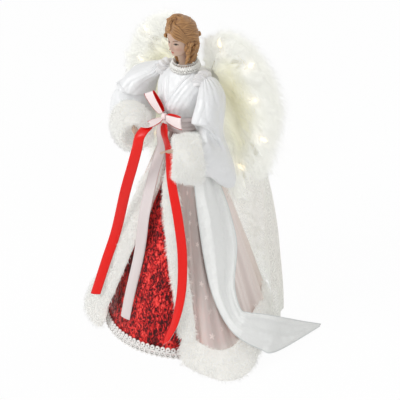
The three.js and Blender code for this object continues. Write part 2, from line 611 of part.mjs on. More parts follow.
// Hand: a palm, four fingers and a thumb on a short wrist, pointing along its own -Y.
function hand(right) {
  const palm = loft([[0, 3, 3], [5, 3, 2.7], [9, 4.3, 2.6], [14, 4.8, 2.4], [17, 4.3, 2]].map(([d, w, h]) =>
    ring(vec(0, -d, 0), vec(0, 0, 1), vec(1, 0, 0), h, h, w, 10)));
  const fingers = [[-3.1, 9], [-1, 10.6], [1.1, 10.2], [3.1, 8.4]].map(([x, l]) =>
    bar([[x, -15.5, 0], [x * 1.1, -15.5 - l * 0.5, 0.2], [x * 1.05, -15.5 - l, -1.6]],
      (t) => 1.25 - 0.45 * t, 5, 3));
  const thumb = bar([[-3, -8, -0.4], [-5.8, -11.5, -1.2], [-6, -15.5, -2.2]], (t) => 1.5 - 0.6 * t, 5, 3);
  return join([palm, ...fingers, thumb]).rotateY(rad(-20)).rotateX(rad(6)).rotateZ(rad(-54))
    .translate(...WRIST, level(263) + (right ? RIGHT_HAND_LIFT : 0));
}

// Arm wire: from a ball inside the top of the sleeve, where the arm turns, to the wrist.
function sleeveMiddle(t, right) {
  const here = sleeveRing(t, 0, right);
  return here.reduce((sum, p) => sum.add(p), vec(0, 0, 0)).divideScalar(SLEEVE_SIDES);
}
function shoulderBall(right) {
  const t = 1 / (SLEEVE.length - 1);
  const inner = sleeveRing(t, SLEEVE_THICK + 2.6 * GAP + SHOULDER_BALL_R, right);
  return inner[Math.round(0.75 * SLEEVE_SIDES)].add(inner[Math.floor(0.74 * SLEEVE_SIDES)]).divideScalar(2);
}
function armWire(right) {
  const path = [0.2, 0.3, 0.45, 0.58, 0.7].map((t) => sleeveMiddle(t, right));
  path[3].z = Math.max(path[3].z, level(250));
  const shoulder = shoulderBall(right);
  path.unshift(shoulder);
  path.push(vec(WRIST[0] + 0.9, WRIST[1] + 0.7, level(263) + (right ? RIGHT_HAND_LIFT : 0)));
  const ball = loft([-0.9, -0.5, 0, 0.5, 0.9].map((k) => {
    const r = SHOULDER_BALL_R * Math.sqrt(1 - k * k);
    return levelRing(shoulder.x, shoulder.y, shoulder.z + k * SHOULDER_BALL_R, r, r, 8);
  }));
  return join([ball, bar(path.map((p) => p.toArray()), ARM_WIRE_R, 8, 14)]);
}

// Both arms.
for (const [name, make, color, roughness] of [
  ['sleeve', sleeve, SATIN, 0.35], ['cuff', cuff, FUR, 0.95], ['hand', hand, SKIN, 0.45],
  ['arm_wire', armWire, 0x8a8d90, 0.4],
]) {
  add(`left_${name}`, make(false), color, roughness);
  add(`right_${name}`, mirrored(make(true)), color, roughness);
}

// Wing bracket: a block on the back with a knuckle above and below each hinge pin.
const hingeY = (WING_CARD_Y[0] + WING_CARD_Y[1]) / 2;
const bracketZ = BRACKET_Z.map(level);
const block = (x0, x1, y0, y1, z0, z1) => {
  const box = new THREE.BoxGeometry(x1 - x0, y1 - y0, z1 - z0);
  box.deleteAttribute('normal');
  box.deleteAttribute('uv');
  return mergeVertices(box, 1e-3).translate((x0 + x1) / 2, (y0 + y1) / 2, (z0 + z1) / 2);
};
const pin = (sign, r, z0, z1) => loft([z0, z1].map((z) => levelRing(sign * HINGE_X, hingeY, z, r, r, 12)));
const knuckleZ = [[bracketZ[0] - KNUCKLE, bracketZ[0] + 1], [bracketZ[1] - 1, bracketZ[1] + KNUCKLE]];
const knuckleHalf = HINGE_X + HINGE_PIN_R + GAP + 1;
const bracketBody = join([
  block(-BRACKET_HALF, BRACKET_HALF, ...BRACKET_Y, bracketZ[0] - KNUCKLE, bracketZ[1] + KNUCKLE),
  ...knuckleZ.map(([z0, z1]) => block(-knuckleHalf, knuckleHalf, hingeY - 2.6, BRACKET_Y[1], z0, z1)),
]);
const pinHoles = join([-1, 1].map((sign) =>
  pin(sign, HINGE_PIN_R + GAP, bracketZ[0] - KNUCKLE - 5, bracketZ[1] + KNUCKLE + 5)));
add('wing_bracket', cut(bracketBody, pinHoles), 0xc9c4b8, 0.7);

// Left wing outline, from the root round the top and the outer edge to the tip of the long feathers.
const atLevel = ([x, z]) => [x, level(z)];
const WING_RIM = [
  [18, 355], [29, 370], [50, 372], [71, 362], [87, 346],
  [98, 326], [105, 302], [102, 275], [94, 240], [84, 212],
].map(atLevel);
const WING_TIPS = [
  [71, 190], [62, 170], [57, 190], [50, 196], [46, 214],
  [39, 222], [35, 238], [28, 246], [24, 262], [17, 272],
].map(atLevel);
const rimCurve = new THREE.CatmullRomCurve3(WING_RIM.map(([x, z]) => vec(x, 0, z)), false, 'centripetal');
const wingField = (inset) => [
  [WING_ROOT_X, level(294)], [WING_ROOT_X, level(330)], ...Array.from({ length: 15 }, (_, k) => {
    const t = lerp(0.03, 0.97, k / 14);
    const p = rimCurve.getPointAt(t);
    const d = rimCurve.getTangentAt(t);
    return [p.x + d.z * (MARABOU_R + inset), p.z - d.x * (MARABOU_R + inset)];
  }), ...WING_TIPS,
];
function wingPlate(outline, y0, y1) {
  const shape = new THREE.Shape(outline.map(([x, z]) => new THREE.Vector2(x, z)));
  const flat = new THREE.ExtrudeGeometry(shape, { depth: y1 - y0, bevelEnabled: false, steps: 1 });
  flat.deleteAttribute('normal');
  flat.deleteAttribute('uv');
  return mergeVertices(flat, 1e-3).rotateX(Math.PI / 2).translate(0, y1, 0);
}
const pinEnds = [bracketZ[0] - KNUCKLE, bracketZ[1] + KNUCKLE];
const tabZ = [bracketZ[0] + 1 + 1.5 * GAP, bracketZ[1] - 1 - 1.5 * GAP];
const leftCard = join([
  wingPlate([...wingField(2).slice(0, -10), [62, level(196)], [40, level(240)]], ...WING_CARD_Y),
  block(HINGE_X, WING_ROOT_X + 4, ...WING_CARD_Y, ...tabZ),
  pin(1, HINGE_PIN_R, ...pinEnds),
]);
const leftQuills = wingPlate(wingField(0.6), ...WING_QUILL_Y);
const leftMarabou = bar(WING_RIM.map(([x, z]) => [x, MARABOU_Y, z]),
  (t) => MARABOU_R * Math.min(1, 0.4 + 7 * t, 0.3 + 5 * (1 - t)), 10, 18);

// Lights: five on each wing, standing out from one wire that starts at the bracket.
const LIGHTS = [[35, 362], [72, 351], [78, 313], [90, 270], [60, 226]].map(atLevel);
const LIGHT_ROUTE = [...[[13, 312], [20, 334]].map(atLevel), ...LIGHTS];
const LIGHT_WIRE_Y = 25.4;
const lightAim = (k) => {
  const [x0, z0] = LIGHT_ROUTE[k + 1];
  const [x1, z1] = LIGHT_ROUTE[Math.min(k + 3, LIGHT_ROUTE.length - 1)];
  return vec(z0 - z1, 0, x1 - x0).normalize();
};
const leftString = join([
  bar(LIGHT_ROUTE.map(([x, z]) => [x, LIGHT_WIRE_Y, z]), LIGHT_WIRE_R, 5, 24),
  ...LIGHTS.map(([x, z], k) => bar([-3, 3.5].map((d) =>
    vec(x, LIGHT_Y, z).addScaledVector(lightAim(k), d).toArray()), SOCKET_R, 7, 1)),
]);
const leftBulbs = LIGHTS.map(([x, z], k) => {
  const aim = lightAim(k);
  const foot = vec(x, LIGHT_Y, z).addScaledVector(aim, 3.5 + GAP);
  const side = vec(0, 1, 0);
  const up = aim.clone().cross(side);
  return loft([[0, 0.62], [0.18, 0.92], [0.45, 1], [0.72, 0.72], [0.9, 0.36], [1, 0.12]].map(([t, w]) =>
    ring(foot.clone().addScaledVector(aim, t * BULB_LENGTH), up, side,
      BULB_R * w, BULB_R * w, BULB_R * w, 7)));
});

// Both wings.
for (const [name, shape, color, roughness] of [
  ['wing_card', leftCard, 0xe0ddd0, 0.9], ['wing_quills', leftQuills, FEATHER, 0.85],
  ['wing_marabou', leftMarabou, 0xeef0ec, 0.95], ['light_string', leftString, 0xd8dcc8, 0.6],
  ...leftBulbs.map((bulb, k) => [`bulb_${k + 1}`, bulb, 0xfff2dc, 0.15]),
]) {
  add(`left_${name}`, shape, color, roughness);
  add(`right_${name}`, mirrored(shape), color, roughness);
}

// Light lead: from the bracket through the torso and down the inside of the cone to a clip.
const wallY = (z) => coneR(z) - CONE_WALL * 1.1 - 3;
add('light_lead', bar([
  [0, 21.6, LEAD_Z + 16.6], [0, 12, LEAD_Z + 7], [0, 5.2, LEAD_Z - 3],
  [0, 5, LEAD_Z - 24], [0, 5, LEAD_Z - 43],
  ...[222, 160, 90, 26].map((z) => [0, wallY(level(z)), level(z)])], 1.2, 6, 28), 0xe6e8e0, 0.6);
add('lead_clip', new THREE.BoxGeometry(9, 7, 9).translate(0, wallY(26) - 1.2, 19.5), 0xe8eae4, 0.5);

// Bring the whole figure to its height.
hair.computeBoundingBox();
const growth = HEIGHT / hair.boundingBox.max.z;
for (const piece of topper.children) piece.geometry.scale(growth, growth, growth);

export default topper;
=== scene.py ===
import itertools
import math

import bpy
import numpy as np
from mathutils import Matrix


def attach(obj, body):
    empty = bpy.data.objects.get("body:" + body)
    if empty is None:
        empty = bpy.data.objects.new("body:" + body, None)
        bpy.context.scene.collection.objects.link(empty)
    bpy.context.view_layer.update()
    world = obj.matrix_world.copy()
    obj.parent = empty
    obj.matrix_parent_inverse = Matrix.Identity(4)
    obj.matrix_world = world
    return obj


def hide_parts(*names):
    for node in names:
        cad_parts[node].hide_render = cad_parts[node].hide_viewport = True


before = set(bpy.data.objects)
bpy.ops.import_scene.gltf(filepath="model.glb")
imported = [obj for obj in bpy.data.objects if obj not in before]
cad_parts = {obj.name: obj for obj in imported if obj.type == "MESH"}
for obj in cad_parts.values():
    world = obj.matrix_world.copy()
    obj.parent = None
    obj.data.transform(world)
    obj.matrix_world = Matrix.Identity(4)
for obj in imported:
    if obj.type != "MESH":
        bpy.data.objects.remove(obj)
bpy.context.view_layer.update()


# Studio: one camera above and to the figure's left of its front, a white floor and soft lamps.
# The floor is mixed with plain white for the camera, so that only the soft shadow shows on it.
MM = 0.001


def colour(code):
    """Linear colour from an sRGB hex code."""
    parts = [int(code[i:i + 2], 16) / 255 for i in (1, 3, 5)]
    return tuple(c / 12.92 if c <= 0.04045 else ((c + 0.055) / 1.055) ** 2.4 for c in parts) + (1.0,)


def add(tree, kind, settings=None, links=None):
    """Shader node with its settings and its inputs: a value, or another node's output socket."""
    node = tree.nodes.new(kind)
    for key, value in (settings or {}).items():
        setattr(node, key, value)
    for key, value in (links or {}).items():
        if isinstance(value, bpy.types.NodeSocket):
            tree.links.new(value, node.inputs[key])
        else:
            node.inputs[key].default_value = value
    return node


def material(name):
    """Material with an empty node tree."""
    made = bpy.data.materials.new(name)
    made.use_nodes = True
    made.node_tree.nodes.clear()
    return made, made.node_tree


def mesh_piece(name, points, *face_sets, smooth=True):
    """Object from points in millimetres and arrays of triangles or quads."""
    mesh = bpy.data.meshes.new(name)
    face_sets = [np.asarray(f, dtype=np.int32) for f in face_sets]
    loops = np.concatenate([f.ravel() for f in face_sets])
    sizes = np.concatenate([np.full(len(f), f.shape[1], dtype=np.int32) for f in face_sets])
    mesh.vertices.add(len(points))
    mesh.vertices.foreach_set("co", (np.asarray(points) * MM).astype(np.float32).ravel())
    mesh.loops.add(len(loops))
    mesh.polygons.add(len(sizes))
    mesh.polygons.foreach_set("loop_start", np.concatenate([[0], np.cumsum(sizes)[:-1]]).astype(np.int32))
    mesh.polygons.foreach_set("vertices", loops)
    mesh.polygons.foreach_set("use_smooth", np.full(len(sizes), smooth))
    mesh.update(calc_edges=True)
    mesh.validate()
    made = bpy.data.objects.new(name, mesh)
    bpy.context.scene.collection.objects.link(made)
    return made


def white_seen(tree, shader, share):
    """Mixes plain white into a surface for what the camera sees directly or through a clear thing."""
    path = add(tree, "ShaderNodeLightPath")
    seen = path.outputs["Is Camera Ray"]
    for other in ("Is Glossy Ray", "Is Transmission Ray"):
        seen = add(tree, "ShaderNodeMath", {"operation": "MAXIMUM"},
                   {0: seen, 1: path.outputs[other]}).outputs[0]
    part = add(tree, "ShaderNodeMath", {"operation": "MULTIPLY"}, {0: seen, 1: share})
    white = add(tree, "ShaderNodeEmission", None, {"Color": (1, 1, 1, 1), "Strength": 1.0})
    return add(tree, "ShaderNodeMixShader", None, {0: part.outputs[0], 1: shader, 2: white.outputs[0]})


floor_half = 6000
floor = mesh_piece("studio_floor", floor_half * np.array([[-1, -1, 0], [1, -1, 0], [1, 1, 0], [-1, 1, 0]]),
                   [[0, 1, 2, 3]])
# Matt paper has no highlight, so it is an even white that takes the shadow.
paper, tree = material("white paper, matt")
matt = add(tree, "ShaderNodeBsdfDiffuse", None, {"Color": colour("#F6F6F6")})
seen = white_seen(tree, matt.outputs[0], 0.96)
add(tree, "ShaderNodeOutputMaterial", None, {"Surface": seen.outputs[0]})
floor.data.materials.append(paper)

world = bpy.data.worlds.new("studio")
bpy.context.scene.world = world
world.use_nodes = True
world.node_tree.nodes.clear()
soft_sky = add(world.node_tree, "ShaderNodeBackground", None, {"Color": (1, 1, 1, 1), "Strength": 0.5})
sky = white_seen(world.node_tree, soft_sky.outputs[0], 1.0)
add(world.node_tree, "ShaderNodeOutputWorld", None, {"Surface": sky.outputs[0]})

lamp_size, figure_middle = 0.9, np.array([0.0, 0.0, 0.22])
for name, place, power in (("key lamp", (-0.75, -1.5, 1.35), 20), ("side lamp", (1.5, -0.5, 0.9), 4.5),
                           ("back lamp", (0.3, 1.3, 1.5), 6)):
    lamp = bpy.data.lights.new(name, "AREA")
    lamp.energy, lamp.size = power, lamp_size
    holder = bpy.data.objects.new(name, lamp)
    bpy.context.scene.collection.objects.link(holder)
    holder.location = place
    aim = figure_middle - np.array(place)
    holder.rotation_euler = (math.pi / 2 + math.atan2(aim[2], math.hypot(aim[0], aim[1])), 0,
                             math.atan2(-aim[0], aim[1]))

camera = bpy.data.objects.new("camera", bpy.data.cameras.new("camera"))
bpy.context.scene.collection.objects.link(camera)
camera.data.lens, camera.data.sensor_width = 152.24, 36
camera_reach, camera_height = 1.75, 1.18039
camera_turn, look_down, look_aside = (math.radians(angle) for angle in (40, 30.178, 0.5877))
camera.location = (camera_reach * math.sin(camera_turn), -camera_reach * math.cos(camera_turn), camera_height)
camera.rotation_euler = (math.pi / 2 - look_down, 0, camera_turn - look_aside)
bpy.context.scene.camera = camera
bpy.context.scene.view_settings.view_transform = "Standard"


# Support: moulded cone, torso core, wing bracket and lead clip in white plastic, all inside the clothes,
# with the coated wires of the lights, the bare steel wires of the arms and the stiff card of the wings.
# Moulded plastic has an even half gloss and drawn wire a tighter one; pressed card is flat and matt.
def cad_material(nodes, name, code, roughness, grain_mm, grain):
    """Plain material with a fine grain for CAD pieces that stay as they are."""
    made, tree = material(name)
    where = add(tree, "ShaderNodeTexCoord")
    lumps = add(tree, "ShaderNodeTexNoise", None,
                {"Vector": where.outputs["Object"], "Scale": 1000 / grain_mm, "Detail": 2.0})
    bump = add(tree, "ShaderNodeBump", None,
               {"Height": lumps.outputs[0], "Strength": grain, "Distance": 0.2 * MM})
    shader = add(tree, "ShaderNodeBsdfPrincipled", None,
                 {"Base Color": colour(code), "Roughness": roughness, "Normal": bump.outputs[0]})
    add(tree, "ShaderNodeOutputMaterial", None, {"Surface": shader.outputs[0]})
    for node in nodes:
        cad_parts[node].data.materials.clear()
        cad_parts[node].data.materials.append(made)


cad_material(["support_cone", "torso", "wing_bracket", "lead_clip"], "white plastic, moulded",
             "#ECEBE8", roughness=0.4, grain_mm=1.5, grain=0.1)
cad_material(["light_lead", "left_light_string", "right_light_string"], "clear-coated white wire, extruded",
             "#EFEDE6", roughness=0.35, grain_mm=2, grain=0.05)
cad_material(["left_arm_wire", "right_arm_wire"], "steel wire, drawn",
             "#A8A8A8", roughness=0.35, grain_mm=1, grain=0.05)
cad_material(["left_wing_card", "right_wing_card"], "white card, pressed",
             "#F3F2EC", roughness=0.85, grain_mm=0.8, grain=0.3)


# Red skirt: crushed metallic cloth drawn over the cone. The cloth's short foil pile is pressed flat in
# runs that fall down the cone, so it shows as bright and dark streaks, painted into its colour as glints and
# shade; it is sewn at the waist and the lace.
cone_height, cone_foot_r, cone_top_r = 264, 97, 17
skirt_rows, skirt_columns = 196, 500
skirt_top, skirt_foot, cloth_off_cone = 263.5, 4.5, 1.3


def noise(points, size, seed=0):
    """Smooth noise in -1..1 at points in mm, with lumps about `size` mm (one size or one per axis) across."""
    q = np.asarray(points, dtype=float) / np.asarray(size, dtype=float)
    cell = np.floor(q).astype(np.int64)
    part = q - cell
    part = part * part * (3 - 2 * part)
    total = np.zeros(len(q))
    for corner in itertools.product((0, 1), repeat=3):
        c = cell + np.array(corner)
        # Large primes scramble the corner's place into a steady random value.
        h = (c[:, 0] * 73856093) ^ (c[:, 1] * 19349663) ^ (c[:, 2] * 83492791) ^ (seed * 1640531513)
        h = (h ^ (h >> 13)) & 0xffffffff
        h = (h * 1274126177) & 0xffffffff
        h = h ^ (h >> 16)
        weight = np.prod(np.where(np.array(corner), part, 1 - part), axis=1)
        total += weight * ((h & 0xffff) / 32767.5 - 1)
    return total


def grid_faces(rows, columns, closed=False, start=0):
    """Quads of a grid whose points run along the columns first."""
    across = columns if closed else columns - 1
    r, c = np.meshgrid(np.arange(rows - 1), np.arange(across), indexing="ij")
    r, c = r.ravel(), c.ravel()
    after = (c + 1) % columns
    return start + np.stack([r * columns + c, r * columns + after, (r + 1) * columns + after,
                             (r + 1) * columns + c], axis=1)


def around(angle, radius, z, centre_y=0.0):
    """Points at an angle in degrees from the front toward the figure's left."""
    a = np.radians(angle)
    return np.stack(np.broadcast_arrays(radius * np.sin(a), centre_y - radius * np.cos(a), z), axis=-1)


def wear(obj, body, slot, *nodes):
    """Puts a piece on its body and hides the CAD nodes in whose place it stands; slot is not used."""
    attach(obj, body)
    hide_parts(*nodes)


def cone_r(z):
    """Radius of the support cone at a height."""
    return cone_foot_r - (cone_foot_r - cone_top_r) * np.asarray(z) / cone_height


skirt_z = np.linspace(skirt_top, skirt_foot, skirt_rows)[:, None]
skirt_a = np.linspace(0, 360, skirt_columns, endpoint=False)[None, :]
skirt = around(skirt_a, cone_r(skirt_z) + cloth_off_cone, skirt_z)
flat = skirt.reshape(-1, 3)
crush = (noise(flat, (9, 9, 22), 3) * 0.55 + noise(flat, (4, 4, 11), 4) * 0.5
         + noise(flat, (1.9, 1.9, 6), 5) * 0.45).reshape(skirt.shape[:2])
away = around(skirt_a, 1.0, 0 * skirt_z)
skirt = skirt + away * (0.3 + 0.9 * crush)[..., None]
red_skirt = mesh_piece("red_skirt_cloth", skirt.reshape(-1, 3), grid_faces(skirt_rows, skirt_columns, True))
# Foil fibres in crushed velvet lie every way, so each tuft is a bright mirror or a dark gap between them:
# bright tufts are painted glints and dark gaps painted shade in the colour, on top of the real metal shine.
# One fibre is a tenth of a millimetre, too fine to show, so the pattern is drawn at the size of a tuft.
tuft_mm, sweep_mm, drawn_out = 2.38095, 13.3333, 0.45
foil, tree = material("red foil velvet, crushed")
where = add(tree, "ShaderNodeTexCoord")
run = add(tree, "ShaderNodeMapping", None,
          {"Vector": where.outputs["Object"], "Scale": (1.0, 1.0, drawn_out)})
pile = add(tree, "ShaderNodeTexNoise", None,
           {"Vector": run.outputs[0], "Scale": 1000 / tuft_mm, "Detail": 3.0, "Roughness": 0.65,
            "Distortion": 0.8})
sweep = add(tree, "ShaderNodeTexNoise", None,
            {"Vector": run.outputs[0], "Scale": 1000 / sweep_mm, "Detail": 2.0})
depth = add(tree, "ShaderNodeMath", {"operation": "MULTIPLY_ADD"}, {0: sweep.outputs[0], 1: 0.4, 2: -0.2})
level = add(tree, "ShaderNodeMath", {"operation": "ADD"}, {0: pile.outputs[0], 1: depth.outputs[0]})
# Painted glints and shade: the ramp runs from dark shaded gaps to bright mirror-like tufts.
glint_and_shade_reds = add(tree, "ShaderNodeValToRGB", None, {0: level.outputs[0]})
for place, code in ((0.42, "#420307"), (0.5, "#9C0C13"), (0.57, "#DA1F20"), (0.64, "#FF5048")):
    spot = glint_and_shade_reds.color_ramp.elements.new(place)
    spot.color = colour(code)
glint_and_shade_reds.color_ramp.elements.remove(glint_and_shade_reds.color_ramp.elements[-1])
glint_and_shade_reds.color_ramp.elements.remove(glint_and_shade_reds.color_ramp.elements[0])
bump = add(tree, "ShaderNodeBump", None, {"Height": pile.outputs[0], "Strength": 1.0, "Distance": 2.5 * MM})
shader = add(tree, "ShaderNodeBsdfPrincipled", None, {"Base Color": glint_and_shade_reds.outputs[0], "Metallic": 0.6,
                                                     "Roughness": 0.27, "Normal": bump.outputs[0]})
add(tree, "ShaderNodeOutputMaterial", None, {"Surface": shader.outputs[0]})
red_skirt.data.materials.append(foil)
wear(red_skirt, "figure", "red_tinsel", "red_skirt")


# Skirt lace: braid of white cord round the foot of the skirt, worked as a row of small rings over
# hanging loops, and sewn to the skirt's lower edge.
def tube(paths, radius, sides=6, closed=False):
    """Points and quads of round cords along paths (count, steps, 3), each with one radius or one per step."""
    paths = np.asarray(paths, dtype=float)
    count, steps = paths.shape[:2]
    if closed:
        along = np.roll(paths, -1, axis=1) - np.roll(paths, 1, axis=1)
    else:
        along = np.gradient(paths, axis=1)
    along /= np.maximum(np.linalg.norm(along, axis=-1, keepdims=True), 1e-9)
    helper = np.where(np.abs(along[..., 2:3]) > 0.9, np.array([1.0, 0, 0]), np.array([0, 0, 1.0]))
    side = np.cross(along, helper)
    side /= np.linalg.norm(side, axis=-1, keepdims=True)
    other = np.cross(along, side)
    turn = np.linspace(0, 2 * np.pi, sides, endpoint=False)
    reach = np.broadcast_to(radius, (count, steps))[..., None, None]
    ring = (paths[:, :, None, :] + reach * (np.cos(turn)[None, None, :, None] * side[:, :, None, :]
                                            + np.sin(turn)[None, None, :, None] * other[:, :, None, :]))
    points = ring.reshape(-1, 3)
    one = grid_faces(steps + (1 if closed else 0), sides, True) % (steps * sides)
    faces = (one[None] + (np.arange(count) * steps * sides)[:, None, None]).reshape(-1, 4)
    return points, faces


def joined(*parts):
    """Several (points, faces...) sets as one, with the faces renumbered."""
    points, faces, start = [], {}, 0
    for part in parts:
        points.append(part[0])
        for f in part[1:]:
            f = np.asarray(f)
            faces.setdefault(f.shape[1], []).append(f + start)
        start += len(part[0])
    return (np.concatenate(points), *[np.concatenate(f) for f in faces.values()])


lace_count, lace_r, lace_level = 92, 98, 7.2
ring_level, ring_half = 10.2, 2.0
turn = np.linspace(0, 2 * np.pi, 14, endpoint=False)
lace_a = np.arange(lace_count) * 360 / lace_count
ring_z = ring_level + ring_half * np.sin(turn)[None, :]
ring_a = lace_a[:, None] + np.degrees(ring_half * np.cos(turn)[None, :] / lace_r)
rings = around(ring_a, cone_r(ring_z) + 2.9 + 0.3 * np.cos(2 * turn)[None, :], ring_z)
drop = np.linspace(0, np.pi, 14)


def hanging_loops(half, length, off_cone):
    """Loops that hang from the braid's cords, each half wide to a side."""
    z = lace_level - length * np.sin(drop)[None, :] ** 0.8
    a = lace_a[:, None] - np.degrees(half * np.cos(drop)[None, :] / lace_r)
    return around(a, cone_r(z) + off_cone, z)


cord_a = np.linspace(0, 360, 400, endpoint=False)[None, :]
cords = np.concatenate([around(cord_a, cone_r(z) + 2.6, z + 0 * cord_a) for z in (7.4, 6.2)])
lace = mesh_piece("skirt_lace_braid", *joined(
    tube(rings, 1.35, closed=True), tube(hanging_loops(3.3, 6.1, 3.0), 0.85),
    tube(hanging_loops(1.4, 3.4, 2.7), 0.6), tube(cords, 0.6, closed=True)))
# Twisted cotton is matt and shows its plies as fine slanting ridges.
ply_mm = 0.625
cotton, tree = material("white cotton cord, twisted")
where = add(tree, "ShaderNodeTexCoord")
twist = add(tree, "ShaderNodeTexNoise", None,
            {"Vector": where.outputs["Object"], "Scale": 1000 / ply_mm, "Detail": 2.0})
bump = add(tree, "ShaderNodeBump", None, {"Height": twist.outputs[0], "Strength": 0.5, "Distance": 0.3 * MM})
shader = add(tree, "ShaderNodeBsdfPrincipled", None, {"Base Color": colour("#F7F5F2"), "Roughness": 0.7,
                                                     "Sheen Weight": 0.2, "Normal": bump.outputs[0]})
add(tree, "ShaderNodeOutputMaterial", None, {"Surface": shader.outputs[0]})
lace.data.materials.append(cotton)
wear(lace, "figure", "lace_braid", "skirt_lace")


# Robe: sheer white organza gathered into the waist seam, hung in folds and open at the front. The thin
# threads let the red below show through as pink, their white is tinted pink with painted red light from the
# skirt, and small sprigs are woven into it.
def step(value):
    """Smooth rise from 0 to 1 as the value goes from 0 to 1."""
    v = np.clip(value, 0, 1)
    return v * v * (3 - 2 * v)


def spread(a, centre, before, after):
    """Bell round an angle, with its own width on each side."""
    off = (np.asarray(a) - centre + 180) % 360 - 180
    return np.exp(-(off / np.where(off < 0, before, after)) ** 2)


waist_z, waist_r, foot_r = 265.5, 22.5, 107
left_sweep, right_sweep = 50, 18
opening_top, opening_half = 205, 35
hem_half, hem_half_thick = 21.5, 5.5


def robe_r(z, a):
    """Radius of the robe: a cone whose two front corners sweep out toward the floor."""
    t = 1 - np.asarray(z) / waist_z
    return (waist_r + (foot_r - waist_r) * t + left_sweep * spread(a, 61, 17, 24) * t ** 5
            + right_sweep * spread(a, -60, 45, 25) * t)


def open_angle(z):
    """Half angle of the front opening at a height."""
    return opening_half * (1 - np.clip(np.asarray(z) / opening_top, 0, 1) ** 1.85)


def hem_slope(a):
    """Slope of the robe's foot, on which the hem band lies."""
    return np.arctan2(30, robe_r(0, a) - robe_r(30, a))


def hem_middle(a):
    """Height of the hem band's middle, which lies flatter where the robe flares."""
    return np.hypot(hem_half * np.sin(hem_slope(a)), hem_half_thick * np.cos(hem_slope(a)))


def sprigs(tree, where, pitch_mm, petal_mm, petals):
    """Mask of small flowers, one near the middle of each cell, from a map measured in metres."""
    cells = add(tree, "ShaderNodeTexVoronoi", {"voronoi_dimensions": "2D"},
                {"Vector": where, "Scale": 1000 / pitch_mm, "Randomness": 0.6})
    off = add(tree, "ShaderNodeVectorMath", {"operation": "SUBTRACT"},
              {0: where, 1: cells.outputs["Position"]})
    reach = add(tree, "ShaderNodeVectorMath", {"operation": "LENGTH"}, {0: off.outputs[0]})
    parts = add(tree, "ShaderNodeSeparateXYZ", None, {0: off.outputs[0]})
    turn = add(tree, "ShaderNodeMath", {"operation": "ARCTAN2"}, {0: parts.outputs[1], 1: parts.outputs[0]})
    turns = add(tree, "ShaderNodeMath", {"operation": "MULTIPLY"}, {0: turn.outputs[0], 1: float(petals)})
    wave = add(tree, "ShaderNodeMath", {"operation": "COSINE"}, {0: turns.outputs[0]})
    edge = add(tree, "ShaderNodeMath", {"operation": "MULTIPLY_ADD"},
               {0: wave.outputs[0], 1: petal_mm * 0.4 * MM, 2: petal_mm * 0.6 * MM})
    return add(tree, "ShaderNodeMath", {"operation": "LESS_THAN"},
               {0: reach.outputs["Value"], 1: edge.outputs[0]}).outputs[0]


def attribute(obj, name, values):
    """Number per point that a material can read."""
    kept = obj.data.attributes.new(name, "FLOAT", "POINT")
    kept.data.foreach_set("value", np.asarray(values, dtype=np.float32).ravel())


def map_mm(obj, u, v):
    """Flat map of a cloth, in metres, kept as two numbers per point."""
    attribute(obj, "map_u", np.asarray(u) * MM)
    attribute(obj, "map_v", np.asarray(v) * MM)


def flat_map(tree):
    """Flat map of a cloth as one vector."""
    u = add(tree, "ShaderNodeAttribute", {"attribute_name": "map_u"})
    v = add(tree, "ShaderNodeAttribute", {"attribute_name": "map_v"})
    return add(tree, "ShaderNodeCombineXYZ", None, {0: u.outputs["Fac"], 1: v.outputs["Fac"]}).outputs[0]


def sheer(name, code, pitch_mm, petal_mm, petals, thread_alpha, through_share, net_mm=None):
    """Sheer cloth: clear but for the share each point's "cover" gives, with opaque flowers of thread and,
    for net, the mesh drawn in. A share of the light on its far side shines through the threads."""
    made, tree = material(name)
    layers = add(tree, "ShaderNodeAttribute", {"attribute_name": "cover"})
    where = flat_map(tree)
    flower = sprigs(tree, where, pitch_mm, petal_mm, petals)
    facing = add(tree, "ShaderNodeLayerWeight", None, {0: 0.35})
    cover = add(tree, "ShaderNodeMath", {"operation": "MULTIPLY_ADD", "use_clamp": True},
                {0: facing.outputs["Facing"], 1: 0.5, 2: layers.outputs["Fac"]}).outputs[0]
    if net_mm:
        cells = add(tree, "ShaderNodeTexVoronoi", {"voronoi_dimensions": "2D", "feature": "DISTANCE_TO_EDGE"},
                    {"Vector": where, "Scale": 1000 / net_mm})
        thread = add(tree, "ShaderNodeMath", {"operation": "LESS_THAN"}, {0: cells.outputs[0], 1: 0.12})
        cover = add(tree, "ShaderNodeMath", {"operation": "MULTIPLY_ADD", "use_clamp": True},
                    {0: thread.outputs[0], 1: 0.4, 2: cover}).outputs[0]
    thick = add(tree, "ShaderNodeMath", {"operation": "MULTIPLY"}, {0: flower, 1: thread_alpha})
    cover = add(tree, "ShaderNodeMath", {"operation": "MAXIMUM"}, {0: cover, 1: thick.outputs[0]})
    bump = add(tree, "ShaderNodeBump", None, {"Height": flower, "Strength": 0.5, "Distance": 0.6 * MM})
    threads = add(tree, "ShaderNodeBsdfPrincipled", None, {"Base Color": colour(code), "Roughness": 0.55,
                                                          "Sheen Weight": 0.3, "Normal": bump.outputs[0]})
    through = add(tree, "ShaderNodeBsdfTranslucent", None, {"Color": colour(code)})
    lit = add(tree, "ShaderNodeMixShader", None,
              {0: through_share, 1: threads.outputs[0], 2: through.outputs[0]})
    clear = add(tree, "ShaderNodeBsdfTransparent")
    mixed = add(tree, "ShaderNodeMixShader", None,
                {0: cover.outputs[0], 1: clear.outputs[0], 2: lit.outputs[0]})
    add(tree, "ShaderNodeOutputMaterial", None, {"Surface": mixed.outputs[0]})
    return made


